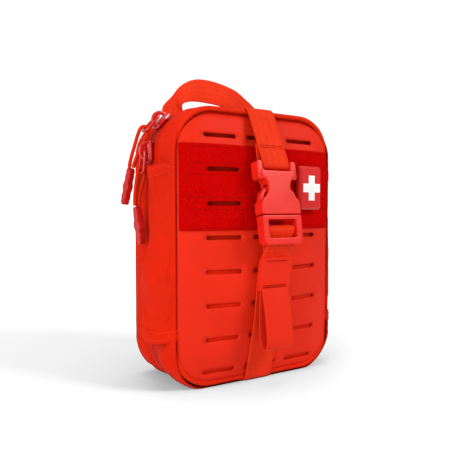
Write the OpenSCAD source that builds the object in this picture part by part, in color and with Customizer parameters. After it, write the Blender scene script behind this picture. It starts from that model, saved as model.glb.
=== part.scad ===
// Soft-sided first aid kit: a zipped clamshell pouch with a laser-cut front
// panel, a buckled strap, side sleeves and a rip-away back panel.
// Millimetres. Origin on the base, on the middle plane and 2 mm behind the
// hinge line of the cover. +Z up, front towards -Y.

/* [Case] */
// Width of the case
case_w = 150; // [146:1:154]
// Height of the case
case_h = 212; // [208:1:216]
// Radius of the four corners of the outline
corner_r = 34; // [30:1:36]
// Depth of the front half, zip to piping
front_depth = 34; // [32:1:36]
// Depth of the rear half, zip to back
rear_depth = 28; // [27:1:30]
// How far the front face swells past its piping
bulge = 16; // [12:1:16]
// Thickness of the padded walls
wall = 3; // [2.5:0.5:3.5]
// Radius of the piping cord
piping_r = 2; // [1.5:0.5:2]

/* [Front panel] */
// Spacing of the slot rows
row_pitch = 25.4; // [25:0.1:25.6]
// Spacing of the slot columns
column_pitch = 38.1; // [37.5:0.1:38.5]
// Length of one slot
slot_len = 28; // [24:1:30]
// Width of one slot
slot_w = 3; // [2.5:0.5:4]
// Lower edge of the hook-and-loop field
loop_z0 = 120; // [118:1:124]
// Upper edge of the hook-and-loop field
loop_z1 = 184; // [182:1:187]

/* [Strap and buckle] */
// Width of the webbing
web_w = 25; // [24:1:25.4]
// Thickness of the webbing
web_t = 1.4; // [1:0.1:1.5]
// Overall width of the buckle
buckle_w = 36; // [35:1:38]
// Lean of the buckle from upright, in degrees
buckle_lean = 10; // [8:1:12]

/* [Pockets, badge and handle] */
// Bottom of the side sleeves
sleeve_z0 = 39.5; // [36:0.5:44]
// Top of the side sleeves
sleeve_z1 = 169; // [160:1:170]
// Width of the badge
badge_w = 26; // [24:1:28]
// Height of the badge
badge_h = 35; // [32:1:38]
// Half the spacing of the handle's sewn ends
handle_half = 43; // [40:1:45]
// Height of the handle's middle line above the case
handle_rise = 25; // [22:1:28]

/* [Zip] */
// Width of one zip tape
tape_w = 11; // [9:0.5:11.5]
// Angle of the first slider round the top left corner
slider_1_angle = 44; // [42:1:48]
// Height of the second slider
slider_2_z = 180; // [176:1:182]

/* [Hidden] */
$fn = 96;
big_fn = 360;
gap = 0.3;
half_w = case_w / 2;
zip_y = -2;
front_y = zip_y - front_depth;
back_y = zip_y + rear_depth;
dome_y = front_y - bulge;
mid_z = case_h / 2;
// Radii of the two crossed cylinders that shape the swollen front face
dome_ra = (half_w * half_w + bulge * bulge) / (2 * bulge);
dome_rb = (mid_z * mid_z + bulge * bulge) / (2 * bulge);
panel_t = 1.5;
loop_t = 1.6;
skin_gap = 0.1;
panel_inset = 6.2;
slot_mid_z = mid_z - 4.1;
seam_gap = 0.2;
tape_t = 1;
tape_gap = 1.4;
coil_out = 1.2;
zip_foot = 6;
pipe_inset = 0.7;
pipe_fit = 0.1;
front_pipe_z0 = 3.8;
rear_pipe_y = back_y - 2.2;
buckle_at = [0, -62, 140];
bar_r = 2;
tail_pivot = [-66.8, 107];
handle_y = back_y + 1.1;
handle_z = 214;
corner_x = half_w - corner_r;
corner_z = case_h - corner_r;
slider_out = 4.2;
bail_r = 6.2;
bail_wire = 1.1;
pivot_out = 8;
badge_x = 40;
badge_z = 152.7;
badge_turn = asin(badge_x / dome_ra);
rip_y = back_y + 3;

// Colours
nylon = [0.92, 0.16, 0.04];
laminate = [0.86, 0.20, 0.11];
webbing = [0.96, 0.22, 0.08];
velcro = [0.78, 0.02, 0.02];
plastic = [0.88, 0.12, 0.08];
white = [0.95, 0.95, 0.93];

// ---- Outlines and paths ----

// A rectangle with round corners, between two opposite corners
module round_rect(x0, z0, x1, z1, r) {
    union() {
        translate([x0 + r, z0])
            square([x1 - x0 - 2 * r, z1 - z0]);
        translate([x0, z0 + r])
            square([x1 - x0, z1 - z0 - 2 * r]);
        for (x = [x0 + r, x1 - r], z = [z0 + r, z1 - r])
            translate([x, z])
                circle(r);
    }
}

// The outline of the case, pulled in all round
module case_outline(inset) {
    round_rect(-half_w + inset, inset, half_w - inset, case_h - inset, corner_r - inset);
}

// An upright plate from y0 back to y1, with its outline in X and Z
module plate(y0, y1) {
    translate([0, y1, 0])
        rotate([90, 0, 0])
            linear_extrude(y1 - y0)
                children();
}

// A profile drawn in Y and Z, carried along X and centred on it
module across(w) {
    translate([-w / 2, 0, 0])
        rotate([90, 0, 90])
            linear_extrude(w)
                children();
}

// Points offset to one side of a path, square to it
function side(p, d) = [for (i = [0 : len(p) - 1])
    let (a = p[max(i - 1, 0)], b = p[min(i + 1, len(p) - 1)], v = b - a, n = norm(v))
    [p[i][0] - d * v[1] / n, p[i][1] + d * v[0] / n]];

function reversed(p) = [for (i = [len(p) - 1 : -1 : 0]) p[i]];

// Points of an arc about c, from angle a0 to a1
function arc(c, r, a0, a1, n = 8) = [for (i = [0 : n])
    let (a = a0 + (a1 - a0) * i / n)
    [c[0] + r * cos(a), c[1] + r * sin(a)]];

// A strip of constant thickness along a path
module strip(p, t) {
    polygon(concat(side(p, t / 2), reversed(side(p, -t / 2))));
}

// Round cord laid along a rounded rectangle at depth y
module cord_ring(y, half, z0, z1, rc, r) {
    translate([0, y, 0]) {
        for (z = [z0, z1])
            translate([-half + rc, 0, z])
                rotate([0, 90, 0])
                    cylinder(r = r, h = 2 * (half - rc));
        for (x = [-half, half])
            translate([x, 0, z0 + rc])
                cylinder(r = r, h = z1 - z0 - 2 * rc);
        for (k = [0 : 3])
            translate([(k == 0 || k == 3 ? 1 : -1) * (half - rc), 0, k < 2 ? z1 - rc : z0 + rc])
                rotate([90, 0, 0])
                    rotate([0, 0, 90 * k])
                        rotate_extrude(angle = 90)
                            translate([rc, 0])
                                circle(r, $fn = 32);
    }
}

module front_ring(r) {
    cord_ring(front_y, half_w - pipe_inset, front_pipe_z0, case_h - pipe_inset, corner_r - 1, r);
}

module rear_ring(r) {
    cord_ring(rear_pipe_y, half_w - pipe_inset, piping_r, case_h - pipe_inset, corner_r - 1, r);
}

// The space behind the swollen front surface, offset outwards by d
module dome(d) {
    intersection() {
        translate([0, dome_y + dome_ra, -20])
            cylinder(r = dome_ra + d, h = case_h + 40, $fn = big_fn);
        translate([-case_w, dome_y + dome_rb, mid_z])
            rotate([0, 90, 0])
                cylinder(r = dome_rb + d, h = 2 * case_w, $fn = big_fn);
    }
}

// The run of the zip: up both sides and over the top
module zip_run(y0, y1, out, in) {
    plate(y0, y1)
        difference() {
            case_outline(-out);
            case_outline(in);
            translate([-case_w, -10])
                square([2 * case_w, 10 + zip_foot]);
        }
}

// Distance of the front surface behind the dome's peak at a point
function dome_drop(x, z) = max(
    dome_ra - sqrt(dome_ra * dome_ra - x * x),
    dome_rb - sqrt(dome_rb * dome_rb - (z - mid_z) * (z - mid_z)));

// ---- Case halves ----

module front_shell() {
    color(nylon)
        difference() {
            union() {
                plate(front_y, zip_y - seam_gap)
                    case_outline(0);
                intersection() {
                    plate(dome_y - 1, front_y + 1)
                        case_outline(3);
                    dome(-panel_t - skin_gap);
                }
            }
            plate(front_y + wall, zip_y + 1)
                case_outline(wall);
            intersection() {
                plate(dome_y, front_y + wall + 1)
                    case_outline(wall + 1);
                dome(-panel_t - skin_gap - wall);
            }
            front_ring(piping_r + pipe_fit);
            zip_run(zip_y - tape_w - 2, zip_y + 1, 2, tape_t + skin_gap);
            // Recess for the strap under the base
            translate([-web_w / 2 - gap, front_y - 5, -1])
                cube([web_w + 2 * gap, 29, 2.9]);
        }
}

module rear_shell() {
    color(nylon)
        difference() {
            plate(zip_y + seam_gap, back_y)
                case_outline(0);
            plate(zip_y - 1, back_y - wall)
                case_outline(wall);
            rear_ring(piping_r + pipe_fit);
            zip_run(zip_y - 1, zip_y + tape_w + 2, 2, tape_t + skin_gap);
        }
}

module front_piping() {
    color(nylon)
        front_ring(piping_r);
}

module rear_piping() {
    color(nylon)
        rear_ring(piping_r);
}

module front_zip_tape() {
    color(webbing)
        zip_run(zip_y - tape_gap - tape_w, zip_y - tape_gap - 1.4, 0, tape_t);
}

module rear_zip_tape() {
    color(webbing)
        zip_run(zip_y + tape_gap + 1.4, zip_y + tape_gap + tape_w, 0, tape_t);
}

module front_zip_coil() {
    color(velcro)
        zip_run(zip_y - tape_gap - 1.2, zip_y - seam_gap, coil_out, tape_t);
}

module rear_zip_coil() {
    color(velcro)
        zip_run(zip_y + seam_gap, zip_y + tape_gap + 1.2, coil_out, tape_t);
}

// ---- Front face ----

// The slots that the front panel and the loop field share
module slots() {
    for (column = [-1 : 1], row = [0 : 7])
        translate([column * column_pitch, slot_mid_z + (3.5 - row) * row_pitch])
            round_rect(-slot_len / 2, -slot_w / 2, slot_len / 2, slot_w / 2, slot_w / 2 - 0.01);
}

module molle_panel() {
    color(laminate)
        difference() {
            intersection() {
                plate(dome_y - 2, front_y)
                    case_outline(panel_inset);
                dome(0);
            }
            dome(-panel_t);
            plate(dome_y - 5, front_y + 5)
                slots();
        }
}

module loop_field() {
    color(velcro)
        difference() {
            intersection() {
                plate(dome_y - 5, front_y)
                    round_rect(-half_w + panel_inset + 1, loop_z0, half_w - panel_inset - 1, loop_z1, 1);
                dome(skin_gap + loop_t);
            }
            dome(skin_gap);
            plate(dome_y - 5, front_y + 5)
                slots();
        }
}

// ---- Side sleeves ----

sleeve_y0 = front_y + 2.4;
sleeve_y1 = zip_y - 4.8;
sleeve_bulge = 10.2;
sleeve_t = 1.6;
sleeve_corner = 4;
sleeve_peak = 21;
sleeve_x = half_w + sleeve_bulge - sleeve_t / 2;
sleeve_depth = sleeve_x - half_w - 1;
sleeve_r = (sleeve_peak * sleeve_peak + sleeve_depth * sleeve_depth) / (2 * sleeve_depth);

// Cross-section of a sleeve: a long curve out from the front seam, then a
// tight turn back to the zip seam
sleeve_section = concat(
    arc([sleeve_r - sleeve_x, sleeve_y0 + sleeve_peak], sleeve_r, 180 + asin(sleeve_peak / sleeve_r), 180),
    arc([sleeve_corner - sleeve_x, sleeve_y1 - sleeve_t / 2 - sleeve_corner], sleeve_corner, 180, 90),
    [[-half_w - gap, sleeve_y1 - sleeve_t / 2]]);

module sleeve(s) {
    color(nylon)
        mirror([s > 0 ? 1 : 0, 0, 0])
            translate([0, 0, sleeve_z0])
                linear_extrude(sleeve_z1 - sleeve_z0)
                    strip(sleeve_section, sleeve_t);
}

// ---- Strap and buckle ----

// A point of the buckle's own upright plane, in Y and Z of the case
function on_buckle(y, z) = [
    buckle_at[1] + y * cos(buckle_lean) + z * sin(buckle_lean),
    buckle_at[2] - y * sin(buckle_lean) + z * cos(buckle_lean)];

module at_buckle() {
    translate(buckle_at)
        rotate([-buckle_lean, 0, 0])
            children();
}

web_bar = 29.5;
male_bar = -20;
wrap_r = bar_r + gap + web_t / 2;
upper_bar = on_buckle(0, web_bar);
lower_bar = on_buckle(0.5, male_bar);

// Sewn to the top of the cover, over the piping, round the buckle's bar and back
upper_path = concat(
    [[-12, case_h + 0.9], [-31, case_h + 0.9], [-33.5, case_h + 2], [-36.5, case_h + 2.4],
        [-39, case_h + 1.4], [-40.4, case_h - 0.8], [-46.5, 199], [-53.5, 184.5]],
    arc(upper_bar, wrap_r, 170, 360),
    [[-52.6, 176], [-51.3, 185]]);

// Sewn under the base, up the front, round the ladder bar and out below it
lower_path = concat(
    [[-14, 0.95], [-30, 0.95]],
    arc([front_y, front_pipe_z0], 3.1, 270, 180, 4),
    [[-41.2, 12], [-45.5, 30], [-49.4, 50], [-53.4, 80], [-56.4, 96], on_buckle(3.4, -33)],
    [on_buckle(3.4, -24)],
    arc(lower_bar, wrap_r, 10, 190, 8),
    [on_buckle(1, -25), on_buckle(1, -32.6)]);

tail_path = [tail_pivot + [0.05, -0.7], [-65.6, 99], [-62.2, 84], [-61.4, 76.5]];
sleeve_path = [[-65.6, 99], [-62.2, 84], [-61.5, 74]];
loop_path = concat(
    [[-62.9, 74.2], [-64.2, 60]],
    arc([-58.6, 34], 5, 180, 360, 8),
    [[-54.6, 56], [-60, 74.2]]);

module strap_upper() {
    color(webbing)
        across(web_w)
            strip(upper_path, web_t);
}

module strap_lower() {
    color(webbing)
        across(web_w)
            strip(lower_path, web_t);
}

module strap_tail() {
    color(webbing)
        across(web_w)
            strip(tail_path, web_t);
}

module pull_tab() {
    color(laminate)
        across(28)
            union() {
                difference() {
                    strip(sleeve_path, web_t + 3);
                    strip(concat([[-67, 103]], tail_path), web_t + 0.4);
                }
                strip(loop_path, 1.2);
            }
}

// The waisted outline of the buckle's female half
module female_outline() {
    h = buckle_w / 2;
    polygon([[-h + 2, 32], [-h, 30], [-h, 24], [-11.5, 17], [-10.5, 12], [-11.5, 8], [-h + 1, 1],
        [-h, -2], [-h, -8.7], [h, -8.7], [h, -2], [h - 1, 1], [11.5, 8], [10.5, 12], [11.5, 17],
        [h, 24], [h, 30], [h - 2, 32]]);
}

module buckle_female() {
    color(plastic)
        at_buckle()
            union() {
                difference() {
                    plate(-5.5, 5.5)
                        female_outline();
                    plate(-3.2, 3.2)
                        round_rect(-16.6, -12, 16.6, 14, 1.5);
                    plate(-6, 6)
                        round_rect(-13.2, 19, 13.2, 36, 1.5);
                }
                translate([-14, 0, web_bar])
                    rotate([0, 90, 0])
                        cylinder(r = bar_r, h = 28);
            }
}

module buckle_male() {
    color(plastic)
        at_buckle()
            union() {
                // Ladder frame
                difference() {
                    plate(-4.5, 4)
                        round_rect(-buckle_w / 2, -31.5, buckle_w / 2, -9.1, 3);
                    plate(-5, 5)
                        round_rect(-13.3, -26.8, 13.3, -13, 1);
                    // Room for the webbing behind the lower crossbar
                    translate([-13.3, -0.6, -33])
                        cube([26.6, 6, 8]);
                }
                translate([-14, 0.5, male_bar])
                    rotate([0, 90, 0])
                        cylinder(r = bar_r, h = 28);
                // Guide between the prongs
                plate(-2.6, 2.6)
                    polygon([[-3, -9.5], [3, -9.5], [2.6, 8], [1.4, 11], [-1.4, 11], [-2.6, 8]]);
            }
}

// One sprung prong: up from the frame, out to its shoulder and in to its tip
module prong(s) {
    color(plastic)
        at_buckle()
            plate(-2.7, 2.7)
                scale_x(s)
                    strip([[11.4, -8.8], [11.9, -4], [13.2, 0], [14.6, 3.4], [13, 7.5], [9.4, 11], [6.4, 12.4]], 3);
}

module scale_x(s) {
    if (s < 0)
        mirror([1, 0])
            children();
    else
        children();
}

// ---- Badge ----

module at_badge() {
    translate([badge_x, dome_y + dome_drop(badge_x, badge_z), badge_z])
        rotate([0, 0, badge_turn])
            translate([0, -loop_t - skin_gap - gap, 0])
                children();
}

badge_t = 5;
badge_step = 1.4;

module badge_base() {
    color(velcro)
        at_badge()
            union() {
                plate(-badge_t + badge_step, 0)
                    round_rect(-badge_w / 2, -badge_h / 2, badge_w / 2, badge_h / 2, 3.5);
                plate(-badge_t, -badge_t + badge_step + 0.5)
                    round_rect(-badge_w / 2 + badge_step, -badge_h / 2 + badge_step,
                        badge_w / 2 - badge_step, badge_h / 2 - badge_step, 2.5);
            }
}

module badge_cross() {
    arm = 20;
    arm_w = 7;
    color(white)
        at_badge()
            plate(-badge_t - 0.6, -badge_t) {
                square([arm_w, arm], center = true);
                square([arm, arm_w], center = true);
            }
}

// ---- Handle ----

function unit(v) = v / norm(v);

// Middle line of the handle for s from -1 to 1
function handle_at(s) = [handle_half * sin(90 * s), handle_y + 3 * cos(90 * s),
    handle_z + 0.4 + (handle_rise - 2) * pow(cos(90 * s), 0.8)];

// Four corners of the webbing at s: it stands upright at the ends and
// leans back over the middle
function handle_ring(s) = let (
        t = unit(handle_at(min(s + 0.01, 1)) - handle_at(max(s - 0.01, -1))),
        k = cos(90 * s),
        u = [0, -1 + 0.35 * k, 0.5 * k],
        n = unit(u - (u * t) * t),
        w = cross(t, n),
        c = handle_at(s),
        hw = 11.5 * (1 - 0.12 * k))
    [c + hw * w + 0.7 * n, c + hw * w - 0.7 * n, c - hw * w - 0.7 * n, c - hw * w + 0.7 * n];

module carry_handle() {
    steps = 28;
    rings = [for (i = [0 : steps]) handle_ring(-1 + 2 * i / steps)];
    points = [for (r = rings) each r];
    sides = [for (i = [0 : steps - 1], j = [0 : 3])
        let (a = 4 * i + j, b = 4 * i + (j + 1) % 4)
        each [[a, b, b + 4], [a, b + 4, a + 4]]];
    color(webbing)
        polyhedron(points, concat([[3, 2, 1, 0]], sides, [[for (j = [0 : 3]) 4 * steps + j]]));
}

module handle_anchors() {
    color(webbing)
        for (s = [-1, 1])
            plate(back_y + 0.3, back_y + 0.3 + web_t)
                translate([s * handle_half, 0])
                    round_rect(-web_w / 2, 186, web_w / 2, handle_z - 1, 1);
}

// ---- Sliders and pulls ----

// A slider on a straight zip that runs along Z at x = 0, facing -X
module slider_body() {
    color(plastic)
        union() {
            translate([-slider_out, zip_y, 0])
                rotate([0, -90, 0])
                    translate([0, 0, -1.6])
                        linear_extrude(1.6)
                            round_rect(-7.5, -4.3, 7.5, 4.3, 2);
            translate([-slider_out + 1.5, zip_y + 2.7, -5])
                cube([2.2, 1.6, 10]);
            translate([-slider_out + 0.2, zip_y, 0])
                rotate([90, 0, 0])
                    rotate([0, 0, 90])
                        rotate_extrude(angle = 180)
                            translate([bail_r, 0])
                                circle(bail_wire, $fn = 24);
        }
}

link_half = 3.8;
link_len = 15.5;
link_wire = 0.9;

// A wire link that hangs from the pivot at the origin
module pull_link() {
    color(plastic)
        union() {
            for (z = [0, -link_len])
                translate([0, -link_half, z])
                    rotate([-90, 0, 0])
                        cylinder(r = link_wire, h = 2 * link_half, $fn = 24);
            for (y = [-link_half, link_half])
                translate([0, y, -link_len])
                    cylinder(r = link_wire, h = link_len, $fn = 24);
            for (y = [-link_half, link_half], z = [0, -link_len])
                translate([0, y, z])
                    sphere(r = link_wire, $fn = 24);
        }
}

// A ribbed moulded grip that hangs below the origin
module pull_grip() {
    color(plastic)
        translate([-2.4, 0, -30])
            rotate([90, 0, 90])
                linear_extrude(4.8)
                    union() {
                        round_rect(-3.2, 0, 3.2, 30, 2);
                        for (bump = [[7, 3.7], [15, 4.9], [22.5, 3.7]])
                            translate([0, bump[0]])
                                circle(bump[1]);
                    }
}

// A ring of points round each point of a route, in the plane square to it
function tube_ring(route, i, r, sides) = let (
        t = unit(route[min(i + 1, len(route) - 1)] - route[max(i - 1, 0)]),
        u = unit(cross(t, [0.2, 0.9, 0.1])),
        v = cross(t, u))
    [for (j = [0 : sides - 1])
        let (a = 360 * j / sides)
        route[i] + r * (cos(a) * u + sin(a) * v)];

module tube(route, r, sides = 8) {
    last = len(route) - 1;
    points = [for (i = [0 : last]) each tube_ring(route, i, r, sides)];
    skin = [for (i = [0 : last - 1], j = [0 : sides - 1])
        [sides * i + j, sides * i + (j + 1) % sides,
            sides * (i + 1) + (j + 1) % sides, sides * (i + 1) + j]];
    polyhedron(points, concat(
        [[for (j = [sides - 1 : -1 : 0]) j]],
        skin,
        [[for (j = [0 : sides - 1]) sides * last + j]]));
}

cord_r = 1.4;

// The bight of cord over a link's lower bar: down both sides into the grip
cord_route_1 = [[-88.8, 11.3, 168.2], [-88.6, 10.2, 172], [-88, 7.6, 178], [-87.2, 4.4, 184.5],
    [-86.2, 1.2, 191.5], [-85.1, -1, 196.3], [-83.2, -1.9, 198.6], [-80.4, -2, 198.6],
    [-78.5, -1.8, 196.3], [-78.9, -0.8, 193.1], [-80.6, 1.2, 188.8], [-82.8, 4.2, 182.5],
    [-84.4, 7.2, 176.5], [-85.5, 9.6, 171], [-85.8, 10.6, 168.2]];
cord_route_2 = [[-88.2, 2, 138.4], [-88.2, 2.1, 144], [-87.6, 2.2, 151], [-86.8, 2, 158],
    [-86, 1.7, 163], [-85.2, 1.5, 166.6], [-83, 1.5, 167.8], [-80.8, 1.5, 166.6],
    [-80.2, 1.7, 163], [-81.2, 2, 158], [-83.2, 2.2, 151], [-84.8, 2.1, 144],
    [-85.1, 2, 138.4]];

link_1_turn = 42;
link_2_lean = 13;
link_1_at = [-corner_x - (corner_r + pivot_out) * cos(slider_1_angle), zip_y,
    corner_z + (corner_r + pivot_out) * sin(slider_1_angle)];
link_2_at = [-half_w - pivot_out, zip_y, slider_2_z];

module slider_1() {
    translate([-corner_x, 0, corner_z])
        rotate([0, slider_1_angle, 0])
            translate([-corner_r, 0, 0])
                slider_body();
}

module slider_2() {
    translate([-half_w, 0, slider_2_z])
        slider_body();
}

module pull_link_1() {
    translate(link_1_at)
        rotate([0, link_1_turn, 0])
            pull_link();
}

module pull_link_2() {
    translate(link_2_at)
        rotate([link_2_lean, 0, 0])
            pull_link();
}

module pull_cord_1() {
    color(webbing)
        tube(cord_route_1, cord_r);
}

module pull_cord_2() {
    color(webbing)
        tube(cord_route_2, cord_r);
}

module pull_grip_1() {
    translate([-87.3, 10.95, 168])
        rotate([14, 6, 0])
            pull_grip();
}

module pull_grip_2() {
    translate([-86.6, 2, 138])
        rotate([0, -7, 0])
            pull_grip();
}

// ---- Inside ----

inner_y = back_y - wall;

module organiser() {
    color(nylon)
        plate(inner_y - 1.7, inner_y - 0.2)
            round_rect(-66, 12, 66, 196, 22);
}

module elastic_bands() {
    color(velcro)
        for (z = [30, 60])
            translate([0, 0, z])
                linear_extrude(20)
                    strip([[-65, inner_y - 2], [-62, 2.6], [-59, 0.7], [-8, 0.7], [-5, 2.6], [-2, inner_y - 2]], 1);
}

module gauze_roll() {
    color(white)
        translate([-49, 11, 24])
            difference() {
                cylinder(r = 9, h = 68);
                translate([0, 0, -1])
                    cylinder(r = 2.5, h = 70);
            }
}

module tape_roll() {
    color(white)
        plate(2, 20)
            translate([-38, 162])
                difference() {
                    circle(22);
                    circle(11);
                }
}

// Blades of the shears, closed, with the rivet that joins them
module trauma_shears() {
    color([0.75, 0.76, 0.78])
        union() {
            plate(9, 11)
                polygon([[-25, 24], [-17, 20], [-13, 26], [-13, 70], [-16, 84], [-24, 84], [-26, 70]]);
            plate(7, 13)
                translate([-20, 74])
                    circle(3);
        }
}

// The two finger bows of the shears
module shears_grip() {
    color([0.12, 0.12, 0.13])
        plate(7.2, 13)
            difference() {
                union() {
                    translate([-20, 84.5])
                        round_rect(-7, 0, 7, 14, 3);
                    translate([-31, 106])
                        circle(11);
                    translate([-9, 108])
                        circle(12);
                    translate([-20, 98])
                        circle(8);
                }
                translate([-31, 106])
                    circle(7);
                translate([-9, 108])
                    circle(8);
            }
}

module pressure_bandage() {
    color([0.55, 0.58, 0.45])
        plate(2, 20)
            round_rect(3, 20, 63, 84, 8);
}

module plaster_pack() {
    color(white)
        plate(8, 20)
            round_rect(8, 88, 62, 122, 2);
}

module glove_packet() {
    color([0.25, 0.45, 0.75])
        plate(8, 20)
            round_rect(-10, 132, 58, 186, 7);
}

module cover_pocket() {
    color(velcro)
        plate(front_y + wall + 6, front_y + wall + 7.4)
            round_rect(-66, 14, 66, 128, 20);
}

module blanket_pack() {
    color([0.8, 0.8, 0.82])
        plate(front_y - 4, front_y + wall + 5.6)
            round_rect(-34, 36, 34, 112, 6);
}

// ---- Rip-away back panel ----

module back_loop_field() {
    color(velcro)
        plate(back_y + 0.1, back_y + 1.5)
            round_rect(-60, 14, 60, 180, 10);
}

module rip_panel() {
    color(nylon)
        plate(back_y + 2.2, rip_y + 2.4)
            case_outline(5);
}

module rip_binding() {
    color(webbing)
        plate(back_y + 2, rip_y + 2.8)
            difference() {
                case_outline(1.5);
                case_outline(4.9);
            }
}

module rip_webbing() {
    color(webbing)
        plate(rip_y + 2.5, rip_y + 3.9)
            for (row = [0 : 3])
                translate([0, 28 + 44 * row])
                    round_rect(-62, 0, 62, web_w, 0.5);
}

module rip_straps() {
    color(webbing)
        for (s = [-1, 1])
            plate(rip_y + 4, rip_y + 5.4)
                translate([s * column_pitch, 0])
                    round_rect(-web_w / 2, 16, web_w / 2, 198, 1);
}

module rip_snaps() {
    color([0.1, 0.1, 0.1])
        for (s = [-1, 1])
            plate(rip_y + 5.5, rip_y + 7.2)
                translate([s * column_pitch, 30])
                    circle(6);
}

rear_shell();
rear_piping();
rear_zip_tape();
rear_zip_coil();
handle_anchors();
back_loop_field();
organiser();
elastic_bands();
gauze_roll();
tape_roll();
trauma_shears();
shears_grip();
pressure_bandage();
plaster_pack();
glove_packet();
front_shell();
front_piping();
front_zip_tape();
front_zip_coil();
molle_panel();
loop_field();
sleeve(-1);  // left_sleeve
sleeve(1);  // right_sleeve
strap_upper();
buckle_female();
strap_lower();
cover_pocket();
blanket_pack();
buckle_male();
prong(-1);  // prong_left
prong(1);  // prong_right
strap_tail();
pull_tab();
badge_base();
badge_cross();
carry_handle();
slider_1();
pull_link_1();
pull_cord_1();
pull_grip_1();
slider_2();
pull_link_2();
pull_cord_2();
pull_grip_2();
rip_panel();
rip_binding();
rip_webbing();
rip_straps();
rip_snaps();
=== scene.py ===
"""A soft first aid kit: detailed fabric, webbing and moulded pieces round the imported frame.

Shapes are worked out in millimetres and become metres in add_mesh().
"""
import math

import bmesh
import bpy
import numpy as np
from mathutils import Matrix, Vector, geometry, noise


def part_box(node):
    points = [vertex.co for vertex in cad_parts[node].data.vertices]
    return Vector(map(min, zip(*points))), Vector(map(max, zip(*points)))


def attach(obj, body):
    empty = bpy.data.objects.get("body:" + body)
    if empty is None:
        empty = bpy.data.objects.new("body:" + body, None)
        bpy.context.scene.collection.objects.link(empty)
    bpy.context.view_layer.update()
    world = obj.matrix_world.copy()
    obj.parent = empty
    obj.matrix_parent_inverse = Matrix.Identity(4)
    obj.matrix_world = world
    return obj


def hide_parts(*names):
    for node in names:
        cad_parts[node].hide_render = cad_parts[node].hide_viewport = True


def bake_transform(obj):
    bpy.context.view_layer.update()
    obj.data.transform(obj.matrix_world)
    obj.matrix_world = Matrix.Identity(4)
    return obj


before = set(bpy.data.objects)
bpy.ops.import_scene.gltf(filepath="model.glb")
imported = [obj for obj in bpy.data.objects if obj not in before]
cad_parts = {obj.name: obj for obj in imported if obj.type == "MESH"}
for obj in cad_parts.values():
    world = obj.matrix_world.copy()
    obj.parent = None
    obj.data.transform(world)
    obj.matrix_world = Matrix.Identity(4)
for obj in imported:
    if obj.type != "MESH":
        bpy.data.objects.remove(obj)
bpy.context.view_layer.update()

MM = 0.001
Y, Z = np.eye(3)[1:]


def box_mm(node):
    low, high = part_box(node)
    return [c / MM for c in low], [c / MM for c in high]


SHELL_HI = box_mm("front_shell")[1]
REAR_LO, REAR_HI = box_mm("rear_shell")
HALF_W, CASE_H = SHELL_HI[0], SHELL_HI[2]
CORNER_R = 34.0
ZIP_Y = (SHELL_HI[1] + REAR_LO[1]) / 2
FRONT_Y = box_mm("molle_panel")[1][1]
BACK_Y = REAR_HI[1]
MID_Z = CASE_H / 2
SLOT_MID_Z = MID_Z - 4.1
BULGE = FRONT_Y - box_mm("molle_panel")[0][1]
ROW_PITCH, COLUMN_PITCH = 25.4, 38.1
SLOT_LEN, SLOT_W = 28.0, 3.2
LOOP_Z0, LOOP_Z1 = box_mm("loop_field")[0][2], box_mm("loop_field")[1][2]
WEB_W, WEB_T = 25.0, 1.4

# ---- Camera, set first ----

cam_data = bpy.data.cameras.new("camera")
cam_data.lens = 42.5
cam_data.sensor_width = 36.0
camera = bpy.data.objects.new("camera", cam_data)
bpy.context.scene.collection.objects.link(camera)
camera.location = (-0.2524, -0.3886, 0.1358)
CAMERA_LOOK = Vector((0.5401, 0.8407, -0.0384))
camera.rotation_euler = CAMERA_LOOK.to_track_quat("-Z", "Y").to_euler()
bpy.context.scene.camera = camera

# ---- Materials ----


class Nodes:
    """A short way to write a node tree."""

    def __init__(self, material):
        self.tree = material.node_tree

    def add(self, kind, inputs=None, **settings):
        n = self.tree.nodes.new(kind)
        for key, value in settings.items():
            setattr(n, key, value)
        for key, value in (inputs or {}).items():
            self.feed(n.inputs[key], value)
        return n

    def feed(self, socket, value):
        if isinstance(value, bpy.types.NodeSocket):
            self.tree.links.new(value, socket)
        else:
            socket.default_value = value

    def math(self, operation, a, b=0.0, clamp=False):
        return self.add("ShaderNodeMath", {0: a, 1: b}, operation=operation, use_clamp=clamp).outputs[0]

    def noise(self, vector, scale, detail=3.0, rough=0.5):
        n = self.add("ShaderNodeTexNoise",
                     {"Vector": vector, "Scale": scale, "Detail": detail, "Roughness": rough})
        return n.outputs["Fac"]

    def mix(self, factor, a, b):
        n = self.add("ShaderNodeMix", {0: factor}, data_type="RGBA")
        self.feed(n.inputs[6], a)
        self.feed(n.inputs[7], b)
        return n.outputs[2]

    def bump(self, height, strength, distance, normal=None):
        inputs = {"Height": height, "Strength": strength, "Distance": distance}
        if normal is not None:
            inputs["Normal"] = normal
        return self.add("ShaderNodeBump", inputs).outputs[0]

    def uv(self):
        place = self.add("ShaderNodeTexCoord").outputs["UV"]
        xyz = self.add("ShaderNodeSeparateXYZ", {0: place}).outputs
        return xyz[0], xyz[1]

    def ramp(self, value, low, high):
        n = self.add("ShaderNodeMapRange", {"Value": value, "From Min": low, "From Max": high})
        return n.outputs[0]


def shade(color, k):
    return (min(color[0] * k, 1), min(color[1] * k, 1), min(color[2] * k, 1), 1)


def new_material(name, color, rough, **shader):
    material = bpy.data.materials.new(name)
    material.use_nodes = True
    material.diffuse_color = shade(color, 1)
    nodes = Nodes(material)
    bsdf = material.node_tree.nodes["Principled BSDF"]
    bsdf.inputs["Base Color"].default_value = shade(color, 1)
    bsdf.inputs["Roughness"].default_value = rough
    for key, value in shader.items():
        bsdf.inputs[key.replace("_", " ")].default_value = value
    return material, nodes, bsdf


FABRIC = {"Specular_IOR_Level": 0.05, "Sheen_Weight": 0.03, "Sheen_Roughness": 0.5,
          "Sheen_Tint": (1, 0.2, 0.1, 1)}


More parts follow.
